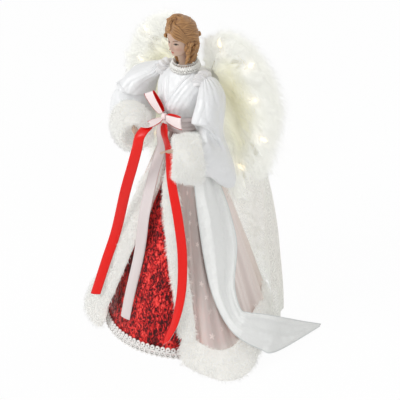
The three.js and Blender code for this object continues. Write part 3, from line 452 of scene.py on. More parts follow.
rows, columns = 110, 420
robe_top, robe_foot, gap = 265.0, 36, 1.0
t = np.linspace(0, 1, rows)[:, None]
s = np.linspace(0, 1, columns)[None, :]
edge_a = open_angle(robe_top + (robe_foot - robe_top) * t) + gap
robe_a = edge_a + (360 - 2 * edge_a) * s
robe_z = robe_top + (hem_middle(robe_a) + hem_half * np.sin(hem_slope(robe_a)) - 10 - robe_top) * t
fall = 1 - robe_z / waist_z
main_folds = np.cos(np.radians(13 * robe_a + 40 * np.sin(np.radians(2 * robe_a))))
small_folds = np.cos(np.radians(41 * robe_a + 90 * np.sin(np.radians(5 * robe_a))))
valley = np.exp(-((robe_a - 44 - 6 * fall) / 2.0) ** 2)
fold = 4.2 * fall * (0.35 + 0.65 * fall) * main_folds + 1.9 * fall * small_folds - 6 * fall * valley
robe_flat = np.stack([robe_a * 1.4, robe_z, 0 * robe_a], axis=-1).reshape(-1, 3)
fold = fold + 0.5 * noise(robe_flat, (14, 40, 10), 8).reshape(robe_a.shape)
robe_points = around(robe_a, robe_r(robe_z, robe_a) + np.minimum(fold, 3.4) - 0.8, robe_z)
robe = mesh_piece("robe_cloth", robe_points.reshape(-1, 3), grid_faces(rows, columns))
map_mm(robe, np.radians(robe_a) * 105, robe_z)
# Organza: fine stiff threads with gaps between them, seen as a pale haze over the red. It is thinnest beside
# the opening and lies double round the sides and back. Its sprigs are 3.2 mm wide and 19 mm apart.
attribute(robe, "cover", 0.64 + 0.2 * step((np.minimum(robe_a, 360 - robe_a) - 52) / 26))
# The threads' pink tint is painted red light thrown up from the skirt below.
robe.data.materials.append(sheer("white organza, woven with sprigs", "#F1E4DE", pitch_mm=19, petal_mm=3.2,
                                 petals=5, thread_alpha=0.97, through_share=0.04))
wear(robe, "figure", "organza", "robe")


# Plush bands on the robe's front edges and hem: cloth tubes filled with soft fibre, covered with white
# pile that leans down, sewn to the robe along one side.
def scatter(points, quads, count, rng):
    """Random spots on a quad mesh with their outward directions."""
    tris = np.concatenate([quads[:, [0, 1, 2]], quads[:, [0, 2, 3]]])
    a, b, c = (points[tris[:, k]] for k in range(3))
    cross = np.cross(b - a, c - a)
    area = np.linalg.norm(cross, axis=1)
    pick = rng.choice(len(tris), count, p=area / area.sum())
    u, v = rng.random(count), rng.random(count)
    flip = u + v > 1
    u, v = np.where(flip, 1 - u, u)[:, None], np.where(flip, 1 - v, v)[:, None]
    spots = a[pick] + u * (b[pick] - a[pick]) + v * (c[pick] - a[pick])
    return spots, cross[pick] / np.maximum(area[pick][:, None], 1e-9)


def strands(roots, ways, lengths, widths, bends, rng):
    """Closed three-sided hairs that taper to a point: points, quads, triangles."""
    count = len(roots)
    ways = ways / np.maximum(np.linalg.norm(ways, axis=1, keepdims=True), 1e-9)
    side = np.cross(ways, rng.normal(size=(count, 3)))
    side /= np.maximum(np.linalg.norm(side, axis=1, keepdims=True), 1e-9)
    other = np.cross(ways, side)
    lengths, widths = np.asarray(lengths)[:, None], np.asarray(widths)[:, None]
    middle = roots + ways * lengths * 0.5 + bends * 0.25
    end = roots + ways * lengths + bends
    rows = []
    for centre, share in ((roots, 0.5), (middle, 0.4)):
        for k in range(3):
            turn = 2 * np.pi * k / 3
            rows.append(centre + widths * share * (np.cos(turn) * side + np.sin(turn) * other))
    points = np.stack(rows + [end], axis=1).reshape(-1, 3)
    base = (np.arange(count) * 7)[:, None]
    quads = np.concatenate([base + np.array(q) for q in ((0, 1, 4, 3), (1, 2, 5, 4), (2, 0, 3, 5))])
    tris = np.concatenate([base + np.array(q) for q in ((3, 4, 6), (4, 5, 6), (5, 3, 6), (2, 1, 0))])
    return points, quads, tris


def plush(name, grid, density, length, rng, lean=(0, 0, -0.6), closed_ends=True, keep=None, face=None):
    """Body of a band from rings of points (rings, sides, 3), with hairs all over it or toward one way.
    Real pile is finer than 0.1 mm; its hairs are drawn 0.35 to 0.6 mm thick so that they show."""
    rings, sides = grid.shape[:2]
    points = grid.reshape(-1, 3)
    quads = grid_faces(rings, sides, True)
    a, b, c, d = (points[quads[:, k]] for k in range(4))
    area = 0.5 * np.linalg.norm(np.cross(c - a, d - b), axis=1).sum()
    spots, out = scatter(points, quads, int(area * density), rng)
    middle = grid.mean(axis=1)
    nearest = np.argmin(((spots[:, None, :] - middle[None, ::3]) ** 2).sum(axis=2), axis=1)
    toward = spots - middle[::3][nearest] if face is None else np.broadcast_to(face, spots.shape)
    out[np.einsum("ij,ij->i", out, toward) < 0] *= -1
    if keep is not None:
        kept = keep(spots, out)
        spots, out = spots[kept], out[kept]
    drift = np.stack([noise(spots, 6.5, 40 + k) for k in range(3)], axis=1)
    ways = out + np.asarray(lean) + 0.9 * drift + rng.normal(scale=0.25, size=out.shape)
    size = length * rng.uniform(0.6, 1.15, len(spots))
    droop = np.array([0, 0, -0.22]) * size[:, None] + rng.normal(scale=0.12, size=out.shape) * size[:, None]
    hairs = strands(spots - out * 0.5, ways, size, rng.uniform(0.35, 0.6, len(spots)), droop, rng)
    ends = []
    if closed_ends:
        for first, centre in ((0, middle[0]), ((rings - 1) * sides, middle[-1])):
            fan = np.stack([np.arange(sides), (np.arange(sides) + 1) % sides, np.full(sides, sides)], axis=1)
            ends.append((np.vstack([points[first:first + sides], centre]), fan))
    hairs[0][:, 2] = np.maximum(hairs[0][:, 2], 0.3)
    made = mesh_piece(name, *joined((points, quads), *ends, hairs))
    bare = len(points) + sum(len(e[0]) for e in ends)
    tip = np.zeros(len(made.data.vertices))
    tip[bare:] = np.tile([0.15, 0.15, 0.15, 0.6, 0.6, 0.6, 1.0], len(hairs[0]) // 7)
    attribute(made, "tip", tip)
    return made


def soft_hairs(tree, tone, painted_glow, painted_bulb_glow=None):
    """White hair or down: each hair passes light on, so part of it is let through, and the light that real
    hairs hand from one to the next, which is more than the few bounces of a picture, is painted on as a glow."""
    light, warm = painted_glow, tone
    # Near the bulbs a painted warm glow tints and brightens the hairs.
    if painted_bulb_glow:
        light = add(tree, "ShaderNodeMath", {"operation": "ADD"}, {0: painted_glow, 1: painted_bulb_glow}).outputs[0]
        warm = add(tree, "ShaderNodeMix", {"data_type": "RGBA"},
                   {0: painted_bulb_glow, 6: tone, 7: colour("#FFD79C")}).outputs[2]
    # Painted glow: the hairs' emission stands in for the light handed from hair to hair.
    body = add(tree, "ShaderNodeBsdfPrincipled", None,
               {"Base Color": tone, "Roughness": 0.9, "Emission Color": warm, "Emission Strength": light})
    through = add(tree, "ShaderNodeBsdfTranslucent", None, {"Color": tone})
    mixed = add(tree, "ShaderNodeMixShader", None, {0: 0.35, 1: body.outputs[0], 2: through.outputs[0]})
    add(tree, "ShaderNodeOutputMaterial", None, {"Surface": mixed.outputs[0]})


# Knitted pile hands the light from hair to hair, painted on as a glow, so it shows soft and bright; the roots
# are a little greyer with painted shade.
pile_white, tree = material("white plush pile, knitted")
tip = add(tree, "ShaderNodeAttribute", {"attribute_name": "tip"})
# Painted shade: the ramp greys the hairs toward their roots.
painted_root_shade = add(tree, "ShaderNodeValToRGB", None, {0: tip.outputs["Fac"]})
painted_root_shade.color_ramp.elements[0].color = colour("#EEEDEA")
painted_root_shade.color_ramp.elements[1].position, painted_root_shade.color_ramp.elements[1].color = 0.6, colour("#F9F9F7")
soft_hairs(tree, painted_root_shade.outputs[0], painted_glow=0.22)


band_wide, band_lap, band_thick = {1: 25, -1: 36}, {1: 0, -1: 11}, 11


def band_half(z):
    """Half the thickness of a front band, which is pressed thin toward the waist."""
    return band_thick * np.clip((waist_z - np.asarray(z)) / 60, 0.32, 1) / 2


def band_rings(side):
    """Rings of one front band, from the hem up to the waist; low down the right one laps over the skirt."""
    z = np.linspace(34, 264, 60)
    turn = np.linspace(0, 2 * np.pi, 20, endpoint=False)[None, :]
    centre_r = robe_r(z, side * (open_angle(z) + 8))
    lap = band_lap[side] * np.clip((190 - z) / 130, 0, 1)
    wide = band_wide[side] * np.clip((waist_z - z) / 70, 0.5, 1) + lap
    first = open_angle(z) + np.degrees((0.3 - lap) / centre_r)
    middle = first + np.degrees(wide / 2 / centre_r)
    a = middle[:, None] + np.degrees((wide[:, None] / 2 - 2.5) * np.cos(turn) / centre_r[:, None])
    r = robe_r(z[:, None], side * a) + 1.5 + (band_half(z)[:, None] - 1.6) * np.sin(turn)
    return around(side * a, r, z[:, None] + 0 * a)


def faces_out(spots, out, least):
    """Which spots of a band's skin don't face the cloth behind it."""
    return np.einsum("ij,ij->i", out, spots * [1, 1, 0]) > least


rng = np.random.default_rng(11)
for side, name in ((1, "left_front_trim"), (-1, "right_front_trim")):
    trim = plush(name + "_plush", band_rings(side), density=0.95, length=5.2, rng=rng,
                 keep=lambda spots, out: faces_out(spots, out, -12))
    trim.data.materials.append(pile_white)
    wear(trim, "figure", "white_fur", name)

hem_first, hem_last = 36, 331
hem_a = np.linspace(hem_first, hem_last, 150)[:, None]
turn = np.linspace(0, 2 * np.pi, 28, endpoint=False)[None, :]
from_end = np.clip(np.minimum(hem_a - hem_first, hem_last - hem_a) / 5, 0, 1)
end = np.maximum(np.sqrt(1 - (1 - from_end) ** 2), 0.12)
along = (hem_half - 2.5) * np.cos(turn) * end
out = (hem_half_thick - 1.4) * np.sin(turn) * end
slope = hem_slope(hem_a)
centre_r = robe_r(0, hem_a) - hem_half * np.cos(slope)
hem_rings = around(hem_a, centre_r - along * np.cos(slope) + out * np.sin(slope),
                   hem_middle(hem_a) + along * np.sin(slope) + out * np.cos(slope))
hem = plush("hem_trim_plush", hem_rings, density=0.55, length=6.0, rng=rng,
            keep=lambda spots, out: faces_out(spots, out, -20) & (out[:, 2] > -0.75) & (spots[:, 2] > 4))
hem.data.materials.append(pile_white)
wear(hem, "figure", "white_fur", "hem_trim")


# Bodice: white satin gathered over the torso, with two front panels that cross in a V, the figure's left
# one on top. It is sewn to the robe at the waist, under the sash, and to the collar at the neck.
def curve(points, t):
    """Smooth curve through rows of numbers, read from 0 to 1."""
    p = np.asarray(points, dtype=float)
    s = np.clip(np.asarray(t, dtype=float), 0, 1) * (len(p) - 1)
    i = np.minimum(s.astype(int), len(p) - 2)
    f = (s - i)[..., None]
    p0, p1, p2, p3 = p[np.maximum(i - 1, 0)], p[i], p[i + 1], p[np.minimum(i + 2, len(p) - 1)]
    return p1 + 0.5 * f * (p2 - p0 + f * (2 * p0 - 5 * p1 + 4 * p2 - p3 + f * (3 * (p1 - p2) + p3 - p0)))


def bell(value, middle, width):
    """Bell of height 1 round its middle."""
    return np.exp(-((value - middle) / width) ** 2)


def thicken(obj, mm, offset=-1.0):
    """Gives a cloth its thickness, inward from its outer face."""
    solid = obj.modifiers.new("thickness", "SOLIDIFY")
    solid.thickness, solid.offset = mm * MM, offset


# Woven satin: threads that float side by side give broad soft highlights, broken by crumples of 9 mm.
# The threads are finer than 0.1 mm; they are drawn 0.4 mm apart so that they show in a close view.
thread_mm, crumple_mm = 0.4, 9.0909
satin, tree = material("white satin, woven")
where = add(tree, "ShaderNodeTexCoord")
threads = add(tree, "ShaderNodeTexNoise", None,
              {"Vector": where.outputs["Object"], "Scale": 1000 / thread_mm, "Detail": 1.0})
crumple = add(tree, "ShaderNodeTexNoise", None,
              {"Vector": where.outputs["Object"], "Scale": 1000 / crumple_mm, "Detail": 2.5,
               "Distortion": 0.6})
soft = add(tree, "ShaderNodeBump", None, {"Height": crumple.outputs[0], "Strength": 0.5, "Distance": 3 * MM})
bump = add(tree, "ShaderNodeBump", None,
           {"Height": threads.outputs[0], "Strength": 0.12, "Distance": 0.2 * MM, "Normal": soft.outputs[0]})
shader = add(tree, "ShaderNodeBsdfPrincipled", None,
             {"Base Color": colour("#EAEBEC"), "Roughness": 0.34, "Sheen Weight": 0.25, "Anisotropic": 0.4,
              "Normal": bump.outputs[0]})
add(tree, "ShaderNodeOutputMaterial", None, {"Surface": shader.outputs[0]})

# Rows: height, half width, half depth and depth of the centre.
bodice_rows = [[267.5, 20, 18.6, 0], [284, 21, 19.8, -1], [300, 27, 23.6, -4], [313, 30, 23, -3.4],
               [325, 30, 19.4, -1], [332, 24, 16, 0.4], [338.5, 14, 12.4, 1.5]]
rows, columns = 90, 240
b = np.radians(np.linspace(-180, 180, columns, endpoint=False))[None, :]
level, half_wide, half_deep, centre = (v[:, None] for v in curve(bodice_rows, np.linspace(0, 1, rows)).T)
x, z = half_wide * np.sin(b), level + 0 * b
front = step(np.cos(b) * 1.8 + 0.2)
v_wide, v_deep, v_top, neck_half = 22, 49, 337, 12
run = math.hypot(v_wide, v_deep)
over = ((x - neck_half) * v_deep - (z - v_top) * v_wide) / run
under = (-(x + neck_half) * v_deep - (z - v_top) * v_wide) / run
rise = (1.5 * step(over) + 1.1 * bell(over, 1.3, 1.2)
        + 0.7 * np.cos(over * 1.2) * np.exp(-np.abs(over) / 13) * (over > 0))
below = 0.7 * step(under) + 1.0 * bell(under, 1.3, 1.1) + 0.6 * np.cos(under * 1.2) * (under > 0)
rise = front * np.where(over > 0, rise, below * step(-over / 1.5))
rise = rise + (1 - front) * 0.5 * np.cos(17 * b + 0.6 * np.sin(z / 6)) + 0.35 * front * np.cos(11 * b + z / 9)
bodice_points = np.stack([(half_wide + rise) * np.sin(b), centre - (half_deep + rise) * np.cos(b), z],
                         axis=-1)
bodice = mesh_piece("bodice_satin", bodice_points.reshape(-1, 3), grid_faces(rows, columns, True))
bodice.data.materials.append(satin)
thicken(bodice, 0.8)
wear(bodice, "figure", "white_satin", "bodice")

# A puff of organza is gathered over each shoulder, where the sleeve is sewn on: a soft white haze.
shoulder_net = sheer("white organza, gathered", "#F2F1F1", pitch_mm=40, petal_mm=1, petals=5,
                     thread_alpha=0.9, through_share=0.1)
rows, columns = 40, 120
lat = np.radians(np.linspace(-88, 88, rows))[:, None]
lon = np.radians(np.linspace(0, 360, columns, endpoint=False))[None, :]
ruffle = 1 + 0.13 * np.cos(9 * lon + 1.5 * np.sin(3 * lat)) * np.cos(lat)
for side, name in ((1, "left_shoulder_gather"), (-1, "right_shoulder_gather")):
    puff = np.stack([side * (27.5 + 8.5 * ruffle * np.sin(lat)), -1 + 13 * ruffle * np.cos(lat) * np.cos(lon),
                     332 + 9.5 * ruffle * np.cos(lat) * np.sin(lon)], axis=-1)
    gather = mesh_piece(name, puff.reshape(-1, 3), grid_faces(rows, columns, True)[:, ::side])
    map_mm(gather, 20 * lon + 0 * lat, 14 * lat + 0 * lon)
    attribute(gather, "cover", 0.8 + 0 * (lat + lon))
    gather.data.materials.append(shoulder_net)
    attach(gather, "figure")


# Waist sash: a wide pale satin ribbon wound round the waist over the seam of bodice and robe, and fixed at
# the back. It is crushed into level creases, which catch the light in thin lines.
def ribbon_satin(name, code, selvage=None):
    """Satin ribbon: its floating threads catch the light in a broad band, and its two edges may be woven in
    another colour. The ribs are finer than 0.2 mm and are drawn 0.55 mm apart so that they show."""
    rib_mm = 0.55556
    made, tree = material(name)
    tone = colour(code)
    if selvage:
        across = add(tree, "ShaderNodeAttribute", {"attribute_name": "across"})
        edge = add(tree, "ShaderNodeMath", {"operation": "GREATER_THAN"}, {0: across.outputs["Fac"], 1: 0.88})
        tone = add(tree, "ShaderNodeMix", {"data_type": "RGBA"},
                   {0: edge.outputs[0], 6: tone, 7: colour(selvage)}).outputs[2]
    where = add(tree, "ShaderNodeTexCoord")
    ribs = add(tree, "ShaderNodeTexNoise", None,
               {"Vector": where.outputs["Object"], "Scale": 1000 / rib_mm, "Detail": 1.0})
    bump = add(tree, "ShaderNodeBump", None,
               {"Height": ribs.outputs[0], "Strength": 0.15, "Distance": 0.2 * MM})
    shader = add(tree, "ShaderNodeBsdfPrincipled", None,
                 {"Base Color": tone, "Roughness": 0.3, "Specular IOR Level": 0.3, "Anisotropic": 0.5,
                  "Normal": bump.outputs[0]})
    add(tree, "ShaderNodeOutputMaterial", None, {"Surface": shader.outputs[0]})
    return made


pale_face = ribbon_satin("pale pink satin ribbon, woven", "#DFD5D4")
rows, columns = 60, 200
sash_foot, sash_tall, sash_r = 266.2, 19, 24.2
z = np.linspace(sash_foot, sash_foot + sash_tall, rows)[:, None]
a = np.linspace(0, 360, columns, endpoint=False)[None, :]
wander = 0.9 * np.sin(np.radians(3 * a)) + 0.5 * np.sin(np.radians(7 * a))
crease = 0.9 * np.cos((z - sash_foot) * 1.15 + 0.23 + wander)
swell = 0.8 * np.sin(np.pi * (z - sash_foot) / sash_tall)
sash = mesh_piece("waist_sash_ribbon", around(a, sash_r + crease + swell, z).reshape(-1, 3),
                  grid_faces(rows, columns, True)[:, ::-1])
sash.data.materials.append(pale_face)
thicken(sash, 0.6)
wear(sash, "figure", "sash_ribbon", "waist_sash")


# Bow and its tails: one ribbon, red on one face and pale on the other, tied over the sash. The loops show
# the pale face and are red inside; two tails fall red side out and one falls pale side out.
red_face = ribbon_satin("red satin ribbon, woven", "#E3140B")
bow_face = ribbon_satin("pale pink satin ribbon, woven with red edges", "#F6E8E7", "#C8312E")


def ribbon(name, grid, front, back, slot, node):
    """Ribbon from a grid of points, with its two faces in their own colours."""
    rows, columns = grid.shape[:2]
    made = mesh_piece(name, grid.reshape(-1, 3), grid_faces(rows, columns))
    attribute(made, "across", np.tile(np.abs(np.linspace(-1, 1, columns)), rows))
    made.data.materials.append(front)
    made.data.materials.append(back)
    solid = made.modifiers.new("thickness", "SOLIDIFY")
    solid.thickness, solid.offset = 0.5 * MM, 0
    solid.material_offset, solid.material_offset_rim = 1, 1
    wear(made, "figure", slot, node)


def tail_grid(points, width, facing, cut, curl, twist=None):
    """Grid of a hanging tail; cut is how much shorter its two edges end, curl the height of its arch, twist
    the stretch in which it turns on itself and the angles it turns from and to."""
    middle = np.array([around(a, r, z) for a, r, z in points])
    rows = []
    for v in np.linspace(1, -1, 9):
        t = np.linspace(0, 1, 150) * (1 - cut[0] * (1 - v) / 2 - cut[1] * (1 + v) / 2)
        p = curve(middle, t)
        if facing is None:
            across = np.stack([-p[:, 1], p[:, 0], 0 * p[:, 0]], axis=1)
            across /= np.linalg.norm(across, axis=1, keepdims=True)
        else:
            across = np.broadcast_to(around(facing + 90, 1.0, 0.0), p.shape)
        out = np.stack([across[:, 1], -across[:, 0], 0 * p[:, 0]], axis=1)
        if twist:
            start, end, before, after = twist
            roll = np.radians(before + (after - before) * step((t - start) / (end - start)))[:, None]
            across, out = (across * np.cos(roll) - out * np.sin(roll),
                           out * np.cos(roll) + across * np.sin(roll))
        half = width * np.minimum(1, 0.5 + 8 * t)[:, None] / 2
        wave = curl * (1 - v * v) + 0.5 * np.sin(9 * t + 2 * v) + 1.3 * v * np.sin(7 * t + 0.5 * width)
        rows.append(p + across * v * half + out * wave[:, None])
    return np.stack(rows, axis=1)


def on_band(a, z, lift):
    """Point of a tail that hangs over a front band: angle, radius and height."""
    return (a, float(robe_r(z, a) + 1.5 + band_half(z)) + lift, z)


ribbon("right_ribbon_tail_satin", tail_grid(
    [(-12, 34.8, 284), (-10.5, 53, 281), (-10.5, 66, 272), (-12.5, 69.5, 254), (-18, 72, 229), (-27, 76, 192),
     on_band(-39, 130, 7), on_band(-38, 90, 7), on_band(-36, 46, 8)],
    13, 14, (0, 0.012), 0.7, (0.085, 0.175, 180, 0)), red_face, bow_face, "red_ribbon", "right_ribbon_tail")
ribbon("left_ribbon_tail_satin", tail_grid(
    [(-2, 33.8, 279.5), (1.5, 37.5, 267), on_band(9.5, 246, 3.6), on_band(22, 214, 4.4),
     on_band(33, 172, 4.4), on_band(37.5, 132, 4.4), on_band(37, 90, 4.4), on_band(33, 56, 4.6),
     (28, 108, 34), (26, 106.5, 20)],
    12, None, (0.0, 0.12), 0.6, (0.3, 0.95, 0, -62)), red_face, pale_face, "red_ribbon", "left_ribbon_tail")
ribbon("middle_ribbon_tail_satin", tail_grid(
    [(-11, 32.4, 277.4), (-11.5, 35.5, 264), on_band(-12, 246, 2.2), on_band(-11.5, 214, 2.2), (-10, 62, 168),
     (-11, 66, 138), (-12.5, 70.5, 108), (-13, 84, 60), (-12.5, 92, 30)],
    13, 14, (0.015, 0), 0.6), pale_face, red_face, "pale_ribbon", "middle_ribbon_tail")

knot = np.array([-5.0, -30.0, 286.0])


def bow_loop(tip, start, height):
    """Loop from the knot out to its tip and back, gathered at the knot and open by about twice the height."""
    axis = np.array(tip) - knot
    length = np.linalg.norm(axis)
    axis /= length
    out = np.array([0, -1.0, 0]) + axis * axis[1]
    out /= np.linalg.norm(out)
    across = np.cross(axis, out)
    t = np.linspace(0, 1, 90)[:, None]
    v = np.linspace(-1, 1, 9)[None, :]
    reach = start + (length - start) * (0.5 - 0.5 * np.cos(2 * np.pi * t))
    lift = height * np.sin(2 * np.pi * t) + 1.1 * (1 - 2 * t) + 0.4 + 0.4 * np.cos(3 * v) * np.sin(np.pi * t)
    half = 7.4 * (0.36 + 0.72 * np.sin(np.pi * t) ** 0.8)
    return knot + axis * reach[..., None] + out * lift[..., None] + across * (v * half)[..., None]


ribbon("right_bow_loop_satin", bow_loop((-22, -37, 314), 5.4, 1.9), bow_face, red_face, "pale_ribbon",
       "right_bow_loop")
ribbon("left_bow_loop_satin", bow_loop((25.5, -36.5, 289), 4.8, 1.7), bow_face, red_face, "pale_ribbon",
       "left_bow_loop")
rows, columns = 30, 60
lat = np.linspace(-1, 1, rows)[:, None]
lon = np.radians(np.linspace(0, 360, columns, endpoint=False))[None, :]
round_off = np.sqrt(np.maximum(1 - 0.9 * lat ** 2, 0.02)) * (1 + 0.06 * np.cos(6 * lon))
knot_points = knot + np.stack([4.1 * round_off * np.cos(lon), 3.6 * round_off * np.sin(lon),
                               4.8 * lat + 0 * lon], axis=-1)
bow_knot = mesh_piece("bow_knot_satin", knot_points.reshape(-1, 3), grid_faces(rows, columns, True))
bow_knot.data.materials.append(bow_face)
thicken(bow_knot, 0.6)
wear(bow_knot, "figure", "pale_ribbon", "bow_knot")


# Stole: a long satin panel sewn in under the sash at the figure's left. It falls straight, draws in above
# the hem and turns out over it into a pointed tail; its edges have a narrow rolled hem, drawn grey as painted
# shade along the edge.
def normals_of(grid):
    """Unit normals of a grid of points (rows, columns, 3)."""
    n = np.cross(np.gradient(grid, axis=1), np.gradient(grid, axis=0))
    return n / np.maximum(np.linalg.norm(n, axis=-1, keepdims=True), 1e-9)


# Edges of the panel: radius, angle and height of each point.
stole_left = [[27.2, 54, 269], [36.5, 54, 231], [48.5, 54, 199], [61, 55, 166], [74, 57, 126], [90, 60, 86],
              [110, 64, 58], [127, 69, 40], [139, 79, 21], [148, 86.4, 13], [167.5, 118.2, 2.2]]
stole_right = [[27.2, 92, 269], [36.5, 95, 231], [49.5, 96, 200], [62.5, 97, 166], [76, 93, 128],
               [90, 80, 88], [105, 78, 62], [112, 82, 56], [121, 93, 46], [149, 112, 18], [168.5, 119.4, 3.4]]
rows, columns = 220, 60
along = np.linspace(0, 1, rows)[:, None]
v = np.linspace(0, 1, columns)[None, :]
edge_a, edge_b = (curve([around(a, r, z) for r, a, z in edge], along) for edge in (stole_left, stole_right))
panel = edge_a + (edge_b - edge_a) * v[..., None]
out = normals_of(panel)
out = out * np.where(out[..., :1] < 0, -1.0, 1.0)
ease = np.minimum(1, 6 * along) * np.clip((0.97 - along) * 8, 0, 1)
sag = 3.4 * np.sin(np.pi * v) + 2.4 * bell(v, 0.87, 0.06) - 2.4 * bell(v, 0.6 + 0.14 * np.sin(6 * along), 0.1)
sag = sag + 2.2 * bell(v, 0.3 - 0.12 * along, 0.09) + 1.2 * np.sin(14 * along + 9 * v) * np.sin(np.pi * v)
panel = panel + out * (0.6 + ease * sag)[..., None]
panel[..., 2] = np.maximum(panel[..., 2], 1.4)
stole = mesh_piece("stole_satin", panel.reshape(-1, 3), grid_faces(rows, columns))
attribute(stole, "cover", 1 - 0.3 * step((along - 0.8) / 0.1) + 0 * v)
# Thin satin: tighter highlights than the bodice on creases of 11 mm; its tail, with nothing behind it,
# lets some light through.
crease_mm = 11.1111
thin_satin, tree = material("white satin, woven thin at the tail")
cover = add(tree, "ShaderNodeAttribute", {"attribute_name": "cover"})
where = add(tree, "ShaderNodeTexCoord")
crumple = add(tree, "ShaderNodeTexNoise", None,
              {"Vector": where.outputs["Object"], "Scale": 1000 / crease_mm, "Detail": 2.0})
bump = add(tree, "ShaderNodeBump", None, {"Height": crumple.outputs[0], "Strength": 0.6, "Distance": 4 * MM})
shader = add(tree, "ShaderNodeBsdfPrincipled", None,
             {"Base Color": colour("#EEEFED"), "Roughness": 0.28, "Sheen Weight": 0.2,
              "Alpha": cover.outputs["Fac"], "Normal": bump.outputs[0]})
add(tree, "ShaderNodeOutputMaterial", None, {"Surface": shader.outputs[0]})
stole.data.materials.append(thin_satin)
thicken(stole, 0.6, 0)
wear(stole, "figure", "white_satin", "satin_stole")
rolled = mesh_piece("stole_rolled_hem", *tube(np.stack([panel[:, 0], panel[:, -1]]), 0.6))
# The rolled hem's grey is painted shade along the panel's edges.
rolled.data.materials.append(ribbon_satin("white satin, rolled and stitched, with painted edge shade", "#D3D7D6"))
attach(rolled, "figure")


# Train: a panel of fine net with embroidered sprigs that hangs from the wing bracket behind the robe.
# It falls in soft upright folds, and its open mesh lets the light through.
# Rows: height, depth of the arc's centre and its radius.
train_rows = [[4, 10, 110], [40, 17, 104.5], [75, 24, 98], [112, 30, 90], [160, 36, 78], [193, 38, 69],
              [230, 38, 52], [262, 37, 34], [290, 34, 15], [302, 30, 8]]
rows, columns = 120, 260
s = np.linspace(0, 1, columns)[None, :]
z, depth, train_r = (k[:, None] for k in curve(train_rows, 1 - np.linspace(0, 1, rows)).T)
first = 103 + 17 * step((z - 120) / 75)
a = first + (360 - 2 * first) * s
wave = (2.6 * (1 - z / 330) * (1 + np.cos(np.radians(3240 * (s - 0.5))))
        + 0.8 * (1 - z / 320) * np.cos(70 * s + z / 20))
train_points = around(a, train_r + wave + 0.4, z, depth)
train = mesh_piece("train_net", train_points.reshape(-1, 3), grid_faces(rows, columns))
map_mm(train, np.radians(a) * 100, z + 0 * a)
attribute(train, "cover", 0.56 + 0 * a)
# Knitted net: an open mesh with thick white flowers, 6.8 mm wide and 14 mm apart, seen as a bright haze
# against what is behind it. The mesh is drawn 1.4 mm wide, coarser than the real one, so that it shows.
train.data.materials.append(sheer("white net, knitted and embroidered", "#FAFBF6", pitch_mm=14, petal_mm=6.8,
                                  petals=6, thread_alpha=0.98, through_share=0.4, net_mm=1.4))
wear(train, "figure", "lace_net", "lace_train")


# Head: neck, face and crown cast in resin as one piece, bowed and turned to the figure's right, with the
# lips, eyes and brows painted on. The neck stands on the torso inside the collar.
# Rows: height, depth of the centre, half width and half depth.
head_rows = [[1.8, 1.2, 13, 11.4], [4.6, 1.1, 11.2, 10], [8, 1, 8, 7.8], [12, 0.9, 6.7, 6.9],
             [20, 0.4, 6.6, 7], [26, -0.6, 7, 7.8], [27.4, -4.0, 7, 9.7], [29.6, -3.6, 9, 11.2],
             [34, -2.4, 11.3, 12.7], [36, -1.8, 12.2, 13.5], [39, -1.3, 12.9, 14.2],
             [45, -0.3, 13.6, 15.1], [52, 0.3, 13.6, 15.4], [58, 0.5, 12, 13.6], [62, 0.5, 9, 10.4],
             [64.6, 0.5, 5, 6]]


def on_neck(points):
    """Carries points of the upright head to its bowed and turned place on the neck."""
    bow, turn = math.radians(10), math.radians(-3)
    x, y, z = points[..., 0], points[..., 1], points[..., 2]
    y, z = y * math.cos(bow) - z * math.sin(bow), y * math.sin(bow) + z * math.cos(bow)
    x, y = x * math.cos(turn) - y * math.sin(turn), x * math.sin(turn) + y * math.cos(turn)
    return np.stack([x, y + 2, z + 334.24], axis=-1)


spots = np.concatenate([np.linspace(i, i + 1, max(2, int((q[0] - p[0]) / 0.3)), endpoint=False)
                        for i, (p, q) in enumerate(zip(head_rows, head_rows[1:]))] + [[len(head_rows) - 1]])
z, depth, half_wide, half_deep = (k[:, None] for k in curve(head_rows, spots / (len(head_rows) - 1)).T)
share = np.linspace(-1, 1, 280, endpoint=False)[None, :]
b = np.pi * np.sign(share) * np.abs(share) ** 1.6
x, y = half_wide * np.sin(b), depth - half_deep * np.cos(b)
# Heights on the face are counted from face_level above the foot of the neck.
face_level = 2
z = z + 0 * b - face_level
face = step((np.cos(b) - 0.1) / 0.5)


def mark(x0, z0, wide, tall):
    """Soft spot on both sides of the face."""
    return np.exp(-((np.abs(x) - x0) / wide) ** 2 - ((z - z0) / tall) ** 2)


# Nose, its wings and the groove below it; eye sockets, eyes and lids; brows and cheeks; mouth, lips and chin.
relief = (4.4 * bell(z, 36.8, 2.3) + 2.1 * bell(z, 41.2, 3.4)) * bell(x, 0, 1.45 + 0.6 * bell(z, 36, 1.8))
relief = relief + 0.9 * mark(1.9, 36.0, 0.9, 1.0) - 0.5 * mark(0, 34.4, 0.8, 0.9)
relief = relief - 1.7 * mark(5.2, 42.3, 3.0, 2.2) + 1.35 * mark(5.3, 41.9, 2.3, 1.5)
relief = relief - 0.4 * mark(5.3, 43.9, 2.6, 0.45)
relief = relief + 0.5 * mark(5.4, 46.2, 3.8, 1.1) + 0.6 * mark(7.2, 36.5, 3.4, 3.2)
relief = relief + 1.0 * bell(x, 0, 3.4) * bell(z, 31.2, 2.2) + 0.55 * bell(x, 0, 2.4) * bell(z, 32.0, 0.65)
relief = relief + 0.65 * bell(x, 0, 2.0) * bell(z, 30.3, 0.7) - 0.75 * bell(x, 0, 2.8) * bell(z, 31.15, 0.3)
relief = relief - 0.5 * bell(x, 0, 2.4) * bell(z, 28.8, 0.7) + 0.8 * bell(x, 0, 3.2) * bell(z, 27.0, 1.3)
y = y - face * relief
head_points = on_neck(np.stack([x, y, z + face_level], axis=-1))
rows, columns = head_points.shape[:2]
